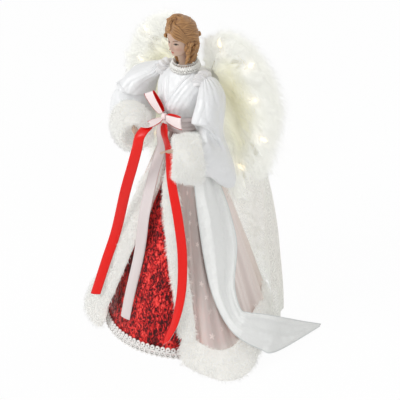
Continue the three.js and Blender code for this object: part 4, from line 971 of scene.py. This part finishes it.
lid_faces = np.full((columns, 1), (rows - 1) * columns) + np.stack(
    [np.arange(columns), (np.arange(columns) + 1) % columns, np.full(columns, columns)], axis=1)
head = mesh_piece("head_cast", np.vstack([head_points.reshape(-1, 3), head_points[-1].mean(axis=0)]),
                  grid_faces(rows, columns, True), lid_faces)
side_x = np.abs(x) - 5.3
lips = np.maximum(step(1.6 - 1.6 * ((x / 2.6) ** 2 + ((z - 31.75) / 0.75) ** 2)),
                  step(1.6 - 1.6 * ((x / 2.2) ** 2 + ((z - 30.35) / 0.85) ** 2)))
lid = 42.75 - 0.13 * (side_x + 0.2) ** 2
lash = step(1.6 - np.abs(z - lid) / 0.46) * step((3.0 - np.abs(side_x)) / 0.5)
under_lid = 40.9 + 0.1 * side_x ** 2
under_lash = step(1.5 - np.abs(z - under_lid) / 0.22) * step((2.7 - np.abs(side_x)) / 0.5)
lash = np.maximum(lash, 0.45 * under_lash)
iris = step(1.8 - 1.8 * ((side_x + 0.1) ** 2 + (z - 41.9) ** 2) / 1.8 ** 2)
iris = iris * step((lid - z) / 0.3) * step((z - under_lid) / 0.3)
brow_z = 46.9 - 0.07 * (side_x - 0.6) ** 2
brow = step(1.4 - np.abs(z - brow_z) / 0.5) * step((3.3 - np.abs(side_x)) / 0.8)
paints = {"lips": lips, "lash": np.maximum(lash, iris), "brow": brow, "blush": mark(7.4, 35.6, 3.2, 2.6)}
for key, mask in paints.items():
    attribute(head, key, np.append((mask * face).ravel(), 0))
# Cast resin is matt with a slight waxy depth, and the paint on it dries matt too.
resin, tree = material("skin-coloured resin, cast and painted")
tone = colour("#C8AB98")
for key, code, strength in (("blush", "#C08070", 0.4), ("brow", "#6E4730", 0.85), ("lips", "#A8463F", 0.95),
                            ("lash", "#2A1812", 1.0)):
    mask = add(tree, "ShaderNodeAttribute", {"attribute_name": key})
    part = add(tree, "ShaderNodeMath", {"operation": "MULTIPLY"}, {0: mask.outputs["Fac"], 1: strength})
    tone = add(tree, "ShaderNodeMix", {"data_type": "RGBA"},
               {0: part.outputs[0], 6: tone, 7: colour(code)}).outputs[2]
shader = add(tree, "ShaderNodeBsdfPrincipled", None,
             {"Base Color": tone, "Roughness": 0.5, "Subsurface Weight": 0.12, "Subsurface Scale": 1.0 * MM})
add(tree, "ShaderNodeOutputMaterial", None, {"Surface": shader.outputs[0]})
head.data.materials.append(resin)
wear(head, "figure", "skin_resin", "head")


# Hair: moulded in resin with a cap of its own, golden brown with painted shade darkening the grooves.
# Curls are piled over the forehead, waves sweep back over the ears and locks fall on the nape.
skull = np.array([0, 0.5, 46])


def crown(way):
    """Extra fullness of the hair toward the back of the crown."""
    return 3.0 * np.clip(way @ np.array([0, 0.62, 0.78]), 0, 1) ** 3


def on_skull(lon, lat, lift):
    """Point of the upright head over its skull: angles in degrees from the face and from level."""
    lon, lat, lift = np.radians(lon), np.radians(lat), np.asarray(lift, dtype=float)
    way = np.stack(np.broadcast_arrays(np.cos(lat) * np.sin(lon), -np.cos(lat) * np.cos(lon), np.sin(lat)),
                   axis=-1)
    return skull + way * (np.array([15.0, 16.8, 20.2]) + (lift + crown(way))[..., None])


def hair_cap(grow):
    """Skin of the moulded cap, that far off the skull: open round the face and longer at the nape."""
    turn = np.radians(np.linspace(0, 360, 90, endpoint=False))[None, :]
    share = np.linspace(0, 1, 40)[:, None]
    up = np.cos(turn)
    start = np.where(up > 0, 74 - 4 * up, 74 - 16 * up)
    away = np.radians(start + (177 - start) * share)
    tilt = math.radians(35)
    axis = np.array([0, -math.cos(tilt), -math.sin(tilt)])
    top = np.array([0, -math.sin(tilt), math.cos(tilt)])
    way = (axis * np.cos(away)[..., None] + top * (np.sin(away) * up)[..., None]
           + np.array([1.0, 0, 0]) * (np.sin(away) * np.sin(turn))[..., None])
    reach = 1 / np.sqrt(((way / np.array([15.2, 17.0, 20.4])) ** 2).sum(axis=-1))
    point = way * (reach + grow + crown(way))[..., None]
    longer = 1 + 0.95 * np.clip((point[..., 1] + 5) / 9, 0, 1)
    point[..., 2] = np.where(point[..., 2] < 0, point[..., 2] * longer, point[..., 2])
    return point + skull


rng = np.random.default_rng(5)
outer, inner = hair_cap(2.0), hair_cap(-0.4)
rows, columns = outer.shape[:2]
cap_faces = np.concatenate([grid_faces(rows, columns, True),
                            grid_faces(rows, columns, True, rows * columns)[:, ::-1]])
ends = []
for row, flip in ((0, 1), (rows - 1, -1)):
    k = np.arange(columns)
    after = (k + 1) % columns
    ends.append((np.stack([row * columns + after, row * columns + k, (rows + row) * columns + k,
                           (rows + row) * columns + after], axis=1))[:, ::flip])
cap = (np.vstack([outer.reshape(-1, 3), inner.reshape(-1, 3)]), np.concatenate([cap_faces] + ends))
locks, widths = [], []
t = np.linspace(0, 1, 44)
taper = 0.04 + np.sin(np.pi * np.clip(t * 0.96 + 0.02, 0, 1)) ** 0.5
wave_count, nape_count, fringe_count = 28, 20, 5
for side in (1, -1):
    # Waves that sweep from the forehead round to the back.
    for k in range(wave_count):
        share = k / (wave_count - 1)
        lat = 88 - 82 * share - (14 + 18 * share) * t + 6 * np.sin(8.5 * t + 0.9 * k) * np.sin(np.pi * t)
        lon = 8 + 56 * share ** 0.8 + (152 - 56 * share ** 0.8) * t ** 0.9
        locks.append(on_skull(side * lon, lat, 1.7 + 1.5 * np.sin(np.pi * t) + rng.uniform(-0.2, 0.9)))
        widths.append(rng.uniform(1.2, 1.9) * taper)
    # Locks that hang on the nape, closer to it on the right.
    near, fall, close = (66, 37, 0.3) if side > 0 else (98, 44, 0.44)
    for k in range(nape_count):
        share = k / (nape_count - 1)
        lon = side * (near + (176 - near) * share + 6 * np.sin(6 * t + k))
        path = on_skull(lon, 16 - 16 * share, 1.8 + 0 * t)
        path[:, 2] -= (fall - 8 * share + 2 * math.sin(2.1 * k)) * t
        path[:, :2] *= (1 - close * t ** 1.5)[:, None]
        twist = 10 * t + 1.7 * k
        sway = np.stack([side * 2.6 * np.sin(twist), 2.2 * np.cos(twist), 0 * t], axis=1)
        path += sway * np.sqrt(t)[:, None]
        locks.append(path)
        widths.append(rng.uniform(1.7, 2.5) * taper)
# Fringe over the brow.
for k in range(fringe_count):
    lon, lat = -24 + 3 * k + 92 * t, 51 + 5 * k - 60 * t ** 1.6 + 4 * np.sin(9 * t + 0.6 * k)
    locks.append(on_skull(lon, lat, 2.2 + 1.2 * np.sin(np.pi * t)))
    widths.append(1.8 * taper)
# Curls: two angles on the skull, radius and thickness.
curls = [(-84 + 88 * ((k * 0.618) % 1), 44 + 38 * ((k * 0.377) % 1), 2.8, 1.25) for k in range(18)]
curls += [(side * lon, lat, 3.2, 1.5) for side in (1, -1)
          for lon, lat in ((98, -24), (112, -44), (130, -30), (142, -48), (160, -34), (174, -50))]
curls += [(side * lon, lat, 2.8, 1.4) for side in (1, -1) for lon, lat in ((78, -6), (140, -4), (168, -10))]
for k, (lon, lat, reach, thick) in enumerate(curls):
    centre = on_skull(lon, lat, 2.6)
    way = centre - skull
    way /= np.linalg.norm(way)
    first = np.cross(way, [0.3, 0.2, 1.0])
    first /= np.linalg.norm(first)
    second = np.cross(way, first)
    turn = 3.4 * np.pi * t + k
    spiral = np.cos(turn)[:, None] * first + np.sin(turn)[:, None] * second
    spiral = (reach * (1 - 0.75 * t))[:, None] * spiral
    locks.append(centre + spiral + way * (1.0 + 3.2 * t)[:, None])
    widths.append(thick * taper)
rolls = [tube(path[None], wide[None], 8) for path, wide in zip(locks, widths)]
hair = mesh_piece("hair_cast", *joined(*[(on_neck(points), faces) for points, faces in [cap] + rolls]))
voxels = hair.modifiers.new("one casting", "REMESH")
voxels.mode, voxels.voxel_size, voxels.use_smooth_shade = "VOXEL", 0.44 * MM, True
soften = hair.modifiers.new("soft grooves", "SMOOTH")
soften.factor, soften.iterations = 0.4, 1
# Painted shade darkens the grooves of the cast resin and leaves the raised locks golden; the resin is half
# matt, and its tone drifts in patches of 6 mm.
drift_mm = 6.25
paint, tree = material("brown resin, cast, with painted shade in the grooves")
shape = add(tree, "ShaderNodeNewGeometry")
where = add(tree, "ShaderNodeTexCoord")
drift = add(tree, "ShaderNodeTexNoise", None,
            {"Vector": where.outputs["Object"], "Scale": 1000 / drift_mm, "Detail": 2.0})
groove_shade = add(tree, "ShaderNodeMath", {"operation": "MULTIPLY_ADD"},
             {0: drift.outputs[0], 1: 0.06, 2: shape.outputs["Pointiness"]})
# Painted shade: darker where the surface is hollow, golden where it is raised.
shaded_browns = add(tree, "ShaderNodeValToRGB", None, {0: groove_shade.outputs[0]})
for spot, place, code in zip(shaded_browns.color_ramp.elements, (0.48, 0.58), ("#5A381E", "#BD8D58")):
    spot.position, spot.color = place, colour(code)
shader = add(tree, "ShaderNodeBsdfPrincipled", None, {"Base Color": shaded_browns.outputs[0], "Roughness": 0.5})
add(tree, "ShaderNodeOutputMaterial", None, {"Surface": shader.outputs[0]})
hair.data.materials.append(paint)
wear(hair, "figure", "hair_resin", "hair")


# Collar: a braid of silver-white thread round the neck, set with three rows of small pearl beads and edged
# with picot loops. It is sewn over the neck seam of the bodice.
def balls(centres, radius, n=10):
    """Points and quads of small balls."""
    lat = np.radians(np.linspace(-89, 89, n))[:, None]
    lon = np.radians(np.linspace(0, 360, n + 2, endpoint=False))[None, :]
    one = np.stack(np.broadcast_arrays(np.cos(lat) * np.cos(lon), np.cos(lat) * np.sin(lon), np.sin(lat)),
                   axis=-1).reshape(-1, 3)
    points = np.asarray(centres)[:, None, :] + np.broadcast_to(radius, (len(centres),))[:, None, None] * one
    faces = grid_faces(n, n + 2, True)[None] + (np.arange(len(centres)) * len(one))[:, None, None]
    return points.reshape(-1, 3), faces.reshape(-1, 4)


collar_z, collar_tilt, bead_count = 342.2, 1.2, 36


def round_neck(a, r, up):
    """Point round the neck on the collar's ring, which is lower in front."""
    return around(a, r, collar_z + up - collar_tilt * np.cos(np.radians(a)), 1.5)


a = np.linspace(0, 360, 160, endpoint=False)
cords = np.stack([round_neck(a, 13.9 + 1.6 * math.cos(q) + 0.25 * np.sin(np.radians(bead_count * a + 90 * k)),
                             2.3 * math.sin(q) + 0.25 * np.cos(np.radians(bead_count * a + 90 * k)))
                  for k, q in enumerate(np.radians([-60, -15, 30, 75, 120, 165, 210, 255]))])
bead_a = np.arange(bead_count) * 360 / bead_count
beads = np.concatenate([round_neck(bead_a + shift, r, up)
                        for shift, r, up in ((0, 15.0, 2.6), (5, 16.2, 0.2), (0, 16.4, -2.4))])
bead_r = np.tile([1.45, 1.1], len(beads) // 2)
turn = np.linspace(0, 2 * np.pi, 16, endpoint=False)[None, :]
picot_a = bead_a[:, None] + 5.0
picots = np.concatenate([
    round_neck(picot_a + np.degrees(1.3 * np.cos(turn) / 14), 13.8 + 0.3 * np.cos(turn),
               4.2 + 1.7 * np.sin(turn)),
    round_neck(picot_a + np.degrees(1.4 * np.cos(turn) / 17), 17.2 + 0.9 * np.sin(turn),
               -3.6 + 1.5 * np.sin(turn))])
collar = mesh_piece("collar_beads", *joined(tube(cords, 1.1, 7, True), balls(beads, bead_r),
                                            tube(picots, 0.42, closed=True)))
# Pearl and metal thread give small bright glints on a silver white; the twist is 1.1 mm long.
braid_mm = 1.1111
silver, tree = material("silver-white pearl and metal thread, braided")
where = add(tree, "ShaderNodeTexCoord")
twist = add(tree, "ShaderNodeTexNoise", None,
            {"Vector": where.outputs["Object"], "Scale": 1000 / braid_mm, "Detail": 1.0})
bump = add(tree, "ShaderNodeBump", None, {"Height": twist.outputs[0], "Strength": 0.25, "Distance": 0.2 * MM})
shader = add(tree, "ShaderNodeBsdfPrincipled", None,
             {"Base Color": colour("#E3E2DE"), "Metallic": 0.25, "Roughness": 0.3, "Coat Weight": 0.3,
              "Normal": bump.outputs[0]})
add(tree, "ShaderNodeOutputMaterial", None, {"Surface": shader.outputs[0]})
collar.data.materials.append(silver)
wear(collar, "figure", "silver_braid", "collar_braid")


# Sleeves: wide satin bells sewn closed at the shoulder and gathered there, hanging deep below the elbow and
# caught at the wrist by the cuff. They move with the arms.
# Rows: centre, direction of its upper side, direction of its outer side, reach above, below and to the side,
# and how far the right sleeve, whose elbow is held out, is moved out and up.
sleeve_rows = [
    [33, -1, 335.5, 0, -1, 0, 0.8, 0, 0.6, 6, 6, 3, 0, 0],
    [37.4, -2, 329, 0, -1, 0, 0.85, 0, 0.52, 15, 14, 8.6, -1.1, 0],
    [44.5, -6, 316, 0, -1, 0, 0.93, 0, 0.36, 23, 19, 14, 8, 3],
    [46.5, -10, 298, 0, -1, 0, 0.96, 0, 0.28, 28, 20, 16, 13, 7],
    [48, -12, 278, 0, -0.82, 0.57, 0.98, -0.1, 0.2, 26, 20, 17, 15, 14],
    [50.5, -11, 259, -0.22, -0.36, 0.9, 0.97, -0.2, 0, 31, 62, 18, 13, 19],
    [53, -26, 255, -0.05, -0.1, 0.99, 0.88, -0.48, 0, 27, 30, 19, 7, 17],
    [47, -37, 254, 0, 0, 1, 0.78, -0.62, 0, 20, 23, 18.5, 3, 12],
    [39, -46, 255, 0, 0.05, 1, 0.7, -0.71, 0, 17.5, 21, 19, 0, 9],
    [32.5, -52, 256, 0, 0.08, 1, 0.66, -0.75, 0, 18, 21, 19, 0, 8]]


def sleeve_grid(t, turn, right, swell=0.0):
    """Points of a sleeve at places along it and round it, for the figure's left side; swell is outward."""
    row = curve(sleeve_rows, t)
    centre, up, side = row[:, :3], row[:, 3:6], row[:, 6:9]
    if right:
        centre = centre + np.stack([row[:, 12], 0 * t, row[:, 13]], axis=1)
    up, side = (w / np.linalg.norm(w, axis=1, keepdims=True) for w in (up, side))
    full = 1 + 0 * t
    if right:
        full = 1 + 0.14 * np.sin(np.pi * np.minimum(1, t / 0.8))
        full = full * (1 - 0.2 * np.clip((t - 0.65) / 0.25, 0, 1))
    c, s = np.cos(turn)[None, :], np.sin(turn)[None, :]
    tall = (np.where(c > 0, row[:, 9:10], row[:, 10:11]) * full[:, None] + swell) * c
    wide = (row[:, 11:12] * full[:, None] + swell) * s
    return centre[:, None, :] + up[:, None, :] * tall[..., None] + side[:, None, :] * wide[..., None]


def folds(value):
    """Rounded folds with narrow valleys between them, one for each half turn of the value."""
    return np.abs(np.sin(value)) ** 0.75 - 0.6


rows, columns = 151, 160
mirror = np.array([-1, 1, 1])
t = np.concatenate([[0.0], np.linspace(0, 1, rows - 1)])
turn = np.linspace(0, 2 * np.pi, columns, endpoint=False)
along, about = t[:, None], turn[None, :]
middle = step((along - 0.1) / 0.25) * (1 - step((along - 0.74) / 0.2))
elbow = bell(along, 0.53, 0.1) * step(np.cos(about - 0.4))
for right, body, name in ((False, "left_arm", "left_sleeve"), (True, "right_arm", "right_sleeve")):
    phase = 1.7 if right else 0.0
    swell = 2.0 * folds(2.5 * about + 7 * along + phase) * middle
    swell = swell + 1.3 * folds(4.5 * about - 11 * along + 2 * phase) * middle
    swell = swell + 0.7 * np.cos(17 * about) * np.exp(-(along / 0.16) ** 2)
    swell = swell + 1.4 * np.cos(70 * (along - 0.5) + 1.5 * np.sin(2 * about)) * elbow
    swell = swell + 0.8 * np.cos(15 * about + 4 * along) * step((along - 0.62) / 0.2) - 0.6
    if right:
        swell = swell + 7 * bell(along, 0.62, 0.12) * step(np.sin(about) + 0.3)
    grid = sleeve_grid(t, turn, right, swell)
    grid[0] = grid[0].mean(axis=0) + 0.1 * (grid[0] - grid[0].mean(axis=0))
    if right:
        grid = grid * mirror
    made = mesh_piece(name + "_satin", grid.reshape(-1, 3),
                      grid_faces(rows, columns, True)[:, ::1 if right else -1])
    made.data.materials.append(satin)
    thicken(made, 0.8)
    wear(made, body, "white_satin", name)


# Cuffs: deep plush bands at the wrists, of the same pile as the robe's edges, sewn round the sleeve's mouth.
# They close in round the hand, and a plush lining shows inside the mouth.
rng = np.random.default_rng(23)
turn = np.linspace(0, 2 * np.pi, 49)
forward = np.array([-0.75, -0.65, 0.05])
for right, body, name in ((False, "left_arm", "left_cuff"), (True, "right_arm", "right_cuff")):
    sections, close = [], 0.34 if right else 0.12
    for q in np.linspace(0, 2 * np.pi, 20, endpoint=False):
        here = sleeve_grid(np.array([0.74 + 0.26 * (0.5 + 0.5 * math.cos(q))]), turn, right)[0]
        heart = here[:-1].mean(axis=0)
        here = heart + (here - heart) * (1 - close * max(0.0, math.cos(q)))
        away = here - heart
        away /= np.linalg.norm(away, axis=1, keepdims=True)
        sections.append(here + away * (4.4 + 3.0 * math.sin(q)) + forward * max(0.0, 4 * math.cos(q)))
    grid = np.stack(sections, axis=1)
    mouth = sleeve_grid(np.array([0.985]), turn[:-1], right, 2.0)[0]
    centre = mouth.mean(axis=0)
    mouth = centre + (mouth - centre) * (1 - close)
    lining = np.stack([centre + (mouth - centre) * k - forward * (7 * (1 - k))
                       for k in (1.0, 0.8, 0.6, 0.4, 0.22, 0.06)])
    ahead = forward
    if right:
        grid, lining, ahead = grid * mirror, lining * mirror, forward * mirror
    band = plush(name + "_plush", grid, density=1.1, length=5.5, rng=rng, lean=(0, 0, -0.35),
                 closed_ends=False)
    band.data.materials.append(pile_white)
    wear(band, body, "white_fur", name)
    inside = plush(name + "_lining", lining, density=0.9, length=4.0, rng=rng, lean=0.3 * ahead,
                   closed_ends=False, face=ahead)
    inside.data.materials.append(pile_white)
    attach(inside, body)


# Hands: cast in the same resin as the head, smooth and unpainted, and pushed onto the ends of the arm wires.
# The palm and fingers of the solid are rounded into one casting.
for side in ("left", "right"):
    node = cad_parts[side + "_hand"]
    made = bpy.data.objects.new(side + "_hand_cast", node.data.copy())
    bpy.context.scene.collection.objects.link(made)
    bpy.context.view_layer.update()
    made.matrix_world = node.matrix_world
    made.data.materials.clear()
    made.data.materials.append(resin)
    voxels = made.modifiers.new("one casting", "REMESH")
    voxels.mode, voxels.voxel_size, voxels.use_smooth_shade = "VOXEL", 0.4 * MM, True
    soften = made.modifiers.new("rounded", "SMOOTH")
    soften.factor, soften.iterations = 0.5, 6
    wear(made, side + "_arm", "skin_resin", side + "_hand")


# Wings: long white feathers glued in rows on the card, and marabou down tied thickly round its edge and over
# the front. Down is soft barbs that stand off thin shafts, white outside; deep inside it is cream with
# painted shade.
# Points of the outline and of the lights, across and up from the figure's axis.
wing_rim = [[18, 355], [29, 370], [50, 372], [71, 362], [87, 346], [98, 326], [105, 302], [102, 275],
            [94, 240], [84, 212]]
wing_tips = [[84, 212], [71, 190], [62, 170], [57, 186], [50, 192], [46, 208], [39, 218], [35, 234],
             [28, 244], [24, 258], [18, 270]]
light_y = 23.6
lights = np.array([[35, light_y, 362], [72, light_y, 351], [78, light_y, 313], [90, light_y, 270],
                   [60, light_y, 226]])


def feather(root, tip, wide, front_y, back, rng):
    """Closed thin feather from root to tip in the wing's plane, with a bend and a pointed end."""
    rows, sides = 14, 8
    ring = np.linspace(0, 2 * np.pi, sides, endpoint=False)[None, :]
    root, tip = np.asarray(root, dtype=float), np.asarray(tip, dtype=float)
    t = np.linspace(0, 1, rows)[:, None]
    way = tip - root
    length = np.linalg.norm(way)
    way /= length
    side = np.array([way[1], -way[0]])
    spine = root + (tip - root) * t + side * (0.07 * length * np.sin(np.pi * t) * rng.uniform(0.3, 1.2))
    half = wide / 2 * np.maximum(0.04, np.sin(np.pi * np.clip(t, 0, 1) ** 0.75) ** 0.6 * (1 - 0.5 * t ** 3))
    half[-1] = 0.05
    offset = half * np.cos(ring)
    across = spine[:, None, :] + side * offset[..., None]
    depth = front_y + back * t + 0.55 * np.sin(ring) * half / wide * 2 + 0.9 * (offset / wide) ** 2
    points = np.stack([across[..., 0], depth, across[..., 1]], axis=-1)
    return points.reshape(-1, 3), grid_faces(rows, sides, True)


def boa(rng, count):
    """Down tied round the wing's edge: hairs from its core out to all sides, swept along the edge."""
    t = rng.random(count)
    spine = curve(wing_rim, t)
    ahead = curve(wing_rim, np.minimum(t + 0.02, 1)) - curve(wing_rim, np.maximum(t - 0.02, 0))
    ahead /= np.linalg.norm(ahead, axis=1, keepdims=True)
    outward = np.stack([-ahead[:, 1], ahead[:, 0]], axis=1)
    q = rng.uniform(0, 2 * np.pi, count)
    centre = np.stack([spine[:, 0], np.full(count, 34.5), spine[:, 1]], axis=1)
    way = np.stack([outward[:, 0] * np.cos(q), np.sin(q), outward[:, 1] * np.cos(q)], axis=1)
    root = centre + way * rng.uniform(0.5, 5.5, count)[:, None]
    along = np.stack([ahead[:, 0], 0 * t, ahead[:, 1]], axis=1)
    way = way + along * rng.uniform(0.1, 0.9, count)[:, None] + rng.normal(scale=0.3, size=(count, 3))
    reach = rng.uniform(6, 13, count) + 9 * rng.random(count) ** 5
    reach = reach * np.minimum(1, 0.55 + 5 * np.minimum(t, 1 - t))
    bend = np.array([0, 0, -0.2]) * reach[:, None] + along * (0.3 * reach)[:, None]
    return strands(root, way, reach, rng.uniform(0.22, 0.42, count), bend, rng)


def root_tuft(rng, count):
    """Down tied in at the wing's root, which stands up behind the head and stays clear of the hair when the
    wing folds."""
    root = np.stack([rng.uniform(8, 27, count), rng.uniform(25.5, 36, count),
                     rng.uniform(331, 364, count)], axis=1)
    way = np.stack([rng.uniform(-0.6, 0.3, count), rng.normal(scale=0.5, size=count) - 0.3,
                    rng.uniform(0.1, 1.0, count)], axis=1)
    reach = rng.uniform(7, 13, count)
    bend = np.array([-0.1, 0, -0.3]) * reach[:, None]
    points, quads, tris = strands(root, way, reach, rng.uniform(0.22, 0.42, count), bend, rng)
    points[:, 1] = np.maximum(points[:, 1], 24.5)
    return points, quads, tris


def plumes(rng, count, barbs):
    """Plumes on the wing's front: a thin bent shaft each, with barbs along both sides."""
    edge = np.array(wing_rim + wing_tips[1:], dtype=float)
    heart = np.array([20.0, 318.0])
    roots, ways, sizes, bends = [], [], [], []
    for _ in range(count):
        target = curve(edge, np.array([rng.uniform(0.03, 0.97)]))[0]
        share = rng.uniform(0.1, 0.78) ** 0.7
        base = heart + (target - heart) * share
        way = (target - heart) / np.linalg.norm(target - heart)
        way = way + np.array([0.25, -0.55]) * rng.uniform(0.2, 1.0) + rng.normal(scale=0.22, size=2)
        way /= np.linalg.norm(way)
        length = min(rng.uniform(24, 46), np.linalg.norm(target - base) + 8)
        side = np.array([way[1], -way[0]]) * rng.choice([-1.0, 1.0])
        t = np.linspace(0.05, 1, barbs)
        shaft = base + way * (length * t)[:, None] + side * (0.16 * length * t ** 2)[:, None]
        front = 27.5 - 4.2 * np.sin(np.pi * np.clip(t, 0, 1)) - rng.uniform(0, 2.5)
        for sign in (1, -1):
            spread_way = way * 0.75 + sign * side * 0.75
            roots.append(np.stack([shaft[:, 0], front, shaft[:, 1]], axis=1))
            lift = rng.normal(scale=0.35, size=barbs) - 0.12
            barb = np.stack([np.full(barbs, spread_way[0]), lift, np.full(barbs, spread_way[1])], axis=1)
            ways.append(barb + rng.normal(scale=0.2, size=(barbs, 3)))
            sizes.append(rng.uniform(7, 13, barbs) * np.sin(np.pi * np.clip(t * 0.85 + 0.12, 0, 1)) + 2.5)
            bends.append(np.stack([0.25 * way[0] + 0 * t, 0 * t, 0.25 * way[1] - 0.12 + 0 * t], axis=1) * 9)
    roots, ways, sizes, bends = (np.concatenate(k) for k in (roots, ways, sizes, bends))
    return strands(roots, ways, sizes, rng.uniform(0.3, 0.5, len(sizes)), bends, rng)


def wing_shades(obj, points):
    """Numbers for the down's painted shade and painted glow: how near the open edge a point is, and how near
    a light.
    """
    rim = curve(wing_rim + wing_tips[1:], np.linspace(0, 1, 90))
    flat = points[:, [0, 2]]
    near = np.min(np.stack([np.linalg.norm(flat - p, axis=1) for p in rim]), axis=0)
    attribute(obj, "edge", np.clip(1 - near / 52, 0, 1))
    # Painted glow: the bulbs' light on the down, laid in by distance from each bulb.
    painted_bulb_glow = sum(np.exp(-(np.linalg.norm(points - p, axis=1) / 5.5) ** 2) for p in lights)
    attribute(obj, "painted_bulb_glow", np.clip(painted_bulb_glow, 0, 1))


def down_material(name, painted_shade_code, open_code):
    """Down or feather: one colour, of painted shade, deep inside the wing, one at its open edge, and a
    painted warm glow round the lights.
    """
    made, tree = material(name)
    edge = add(tree, "ShaderNodeAttribute", {"attribute_name": "edge"})
    painted_bulb_glow = add(tree, "ShaderNodeAttribute", {"attribute_name": "painted_bulb_glow"})
    # Painted shade: cream deep inside the wing, white toward its open edge.
    tone = add(tree, "ShaderNodeValToRGB", None, {0: edge.outputs["Fac"]})
    for spot, place, code in zip(tone.color_ramp.elements, (0.1, 0.75), (painted_shade_code, open_code)):
        spot.position, spot.color = place, colour(code)
    # The painted warm glow of the bulbs is given to the down as emission.
    warm = add(tree, "ShaderNodeMath", {"operation": "MULTIPLY"}, {0: painted_bulb_glow.outputs["Fac"], 1: 0.2})
    soft_hairs(tree, tone.outputs[0], 0.24, warm.outputs[0])
    return made


# Combed down shows white at the edge and cream with painted shade inside, soft as pile; trimmed feathers are
# a little greyer, so that their rows stay visible between the tufts. Real barbs are finer than 0.1 mm; they
# are drawn 0.2 to 0.5 mm thick so that they show.
down = down_material("white marabou down, combed", "#F1EFDE", "#FDFDFA")
vane = down_material("white goose feather, trimmed", "#EFEDDC", "#F9F9F4")
long_count, short_count = 26, 30
for side, name in ((1, "left"), (-1, "right")):
    rng = np.random.default_rng(31 + side)
    parts = []
    line = curve(wing_rim[5:] + wing_tips[1:], np.linspace(0.06, 1, long_count))
    for k, tip in enumerate(line):
        share = k / (long_count - 1)
        root = np.array([52 - 34 * share, 320 - 20 * share])
        parts.append(feather(root, tip, 15 - 5 * share, 28.4 + 0.5 * (k % 3), -0.8, rng))
    root = np.array([19.0, 322.0])
    for k, tip in enumerate(curve(wing_rim[1:] + wing_tips[1:], np.linspace(0.05, 0.97, short_count))):
        first, last = root + (tip - root) * 0.12, root + (tip - root) * 0.72
        parts.append(feather(first, last, 15, 27.4 + 0.4 * (k % 2), -0.8, rng))
    points, quads = joined(*parts)
    points[:, 0] = np.maximum(points[:, 0], 15.5)
    quills = mesh_piece(name + "_wing_feathers", points * [side, 1, 1], quads[:, ::side])
    wing_shades(quills, points)
    quills.data.materials.append(vane)
    wear(quills, name + "_wing", "feather", name + "_wing_quills")
    points, quads, tris = joined(boa(rng, 7600), root_tuft(rng, 1900), plumes(rng, 128, barbs=40))
    marabou = mesh_piece(name + "_wing_down", points * [side, 1, 1], quads[:, ::side], tris[:, ::side])
    wing_shades(marabou, points)
    marabou.data.materials.append(down)
    wear(marabou, name + "_wing", "marabou", name + "_wing_marabou")


# Bulbs: small blown-glass lamps pushed into their holders on the wire, lit. The glass glows evenly in a warm
# white, a little deeper in colour toward its rim.
glass, tree = material("warm lamp glass, blown and lit")
rim = add(tree, "ShaderNodeLayerWeight", None, {0: 0.4})
warm = add(tree, "ShaderNodeValToRGB", None, {0: rim.outputs["Facing"]})
for spot, code in zip(warm.color_ramp.elements, ("#FFE6B8", "#FFC980")):
    spot.color = colour(code)
shader = add(tree, "ShaderNodeBsdfPrincipled", None,
             {"Base Color": colour("#FFF4E0"), "Roughness": 0.15, "Emission Color": warm.outputs[0],
              "Emission Strength": 1.0})
add(tree, "ShaderNodeOutputMaterial", None, {"Surface": shader.outputs[0]})
for side in ("left", "right"):
    for k in range(1, 6):
        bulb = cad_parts[f"{side}_bulb_{k}"]
        bulb.data.materials.clear()
        bulb.data.materials.append(glass)
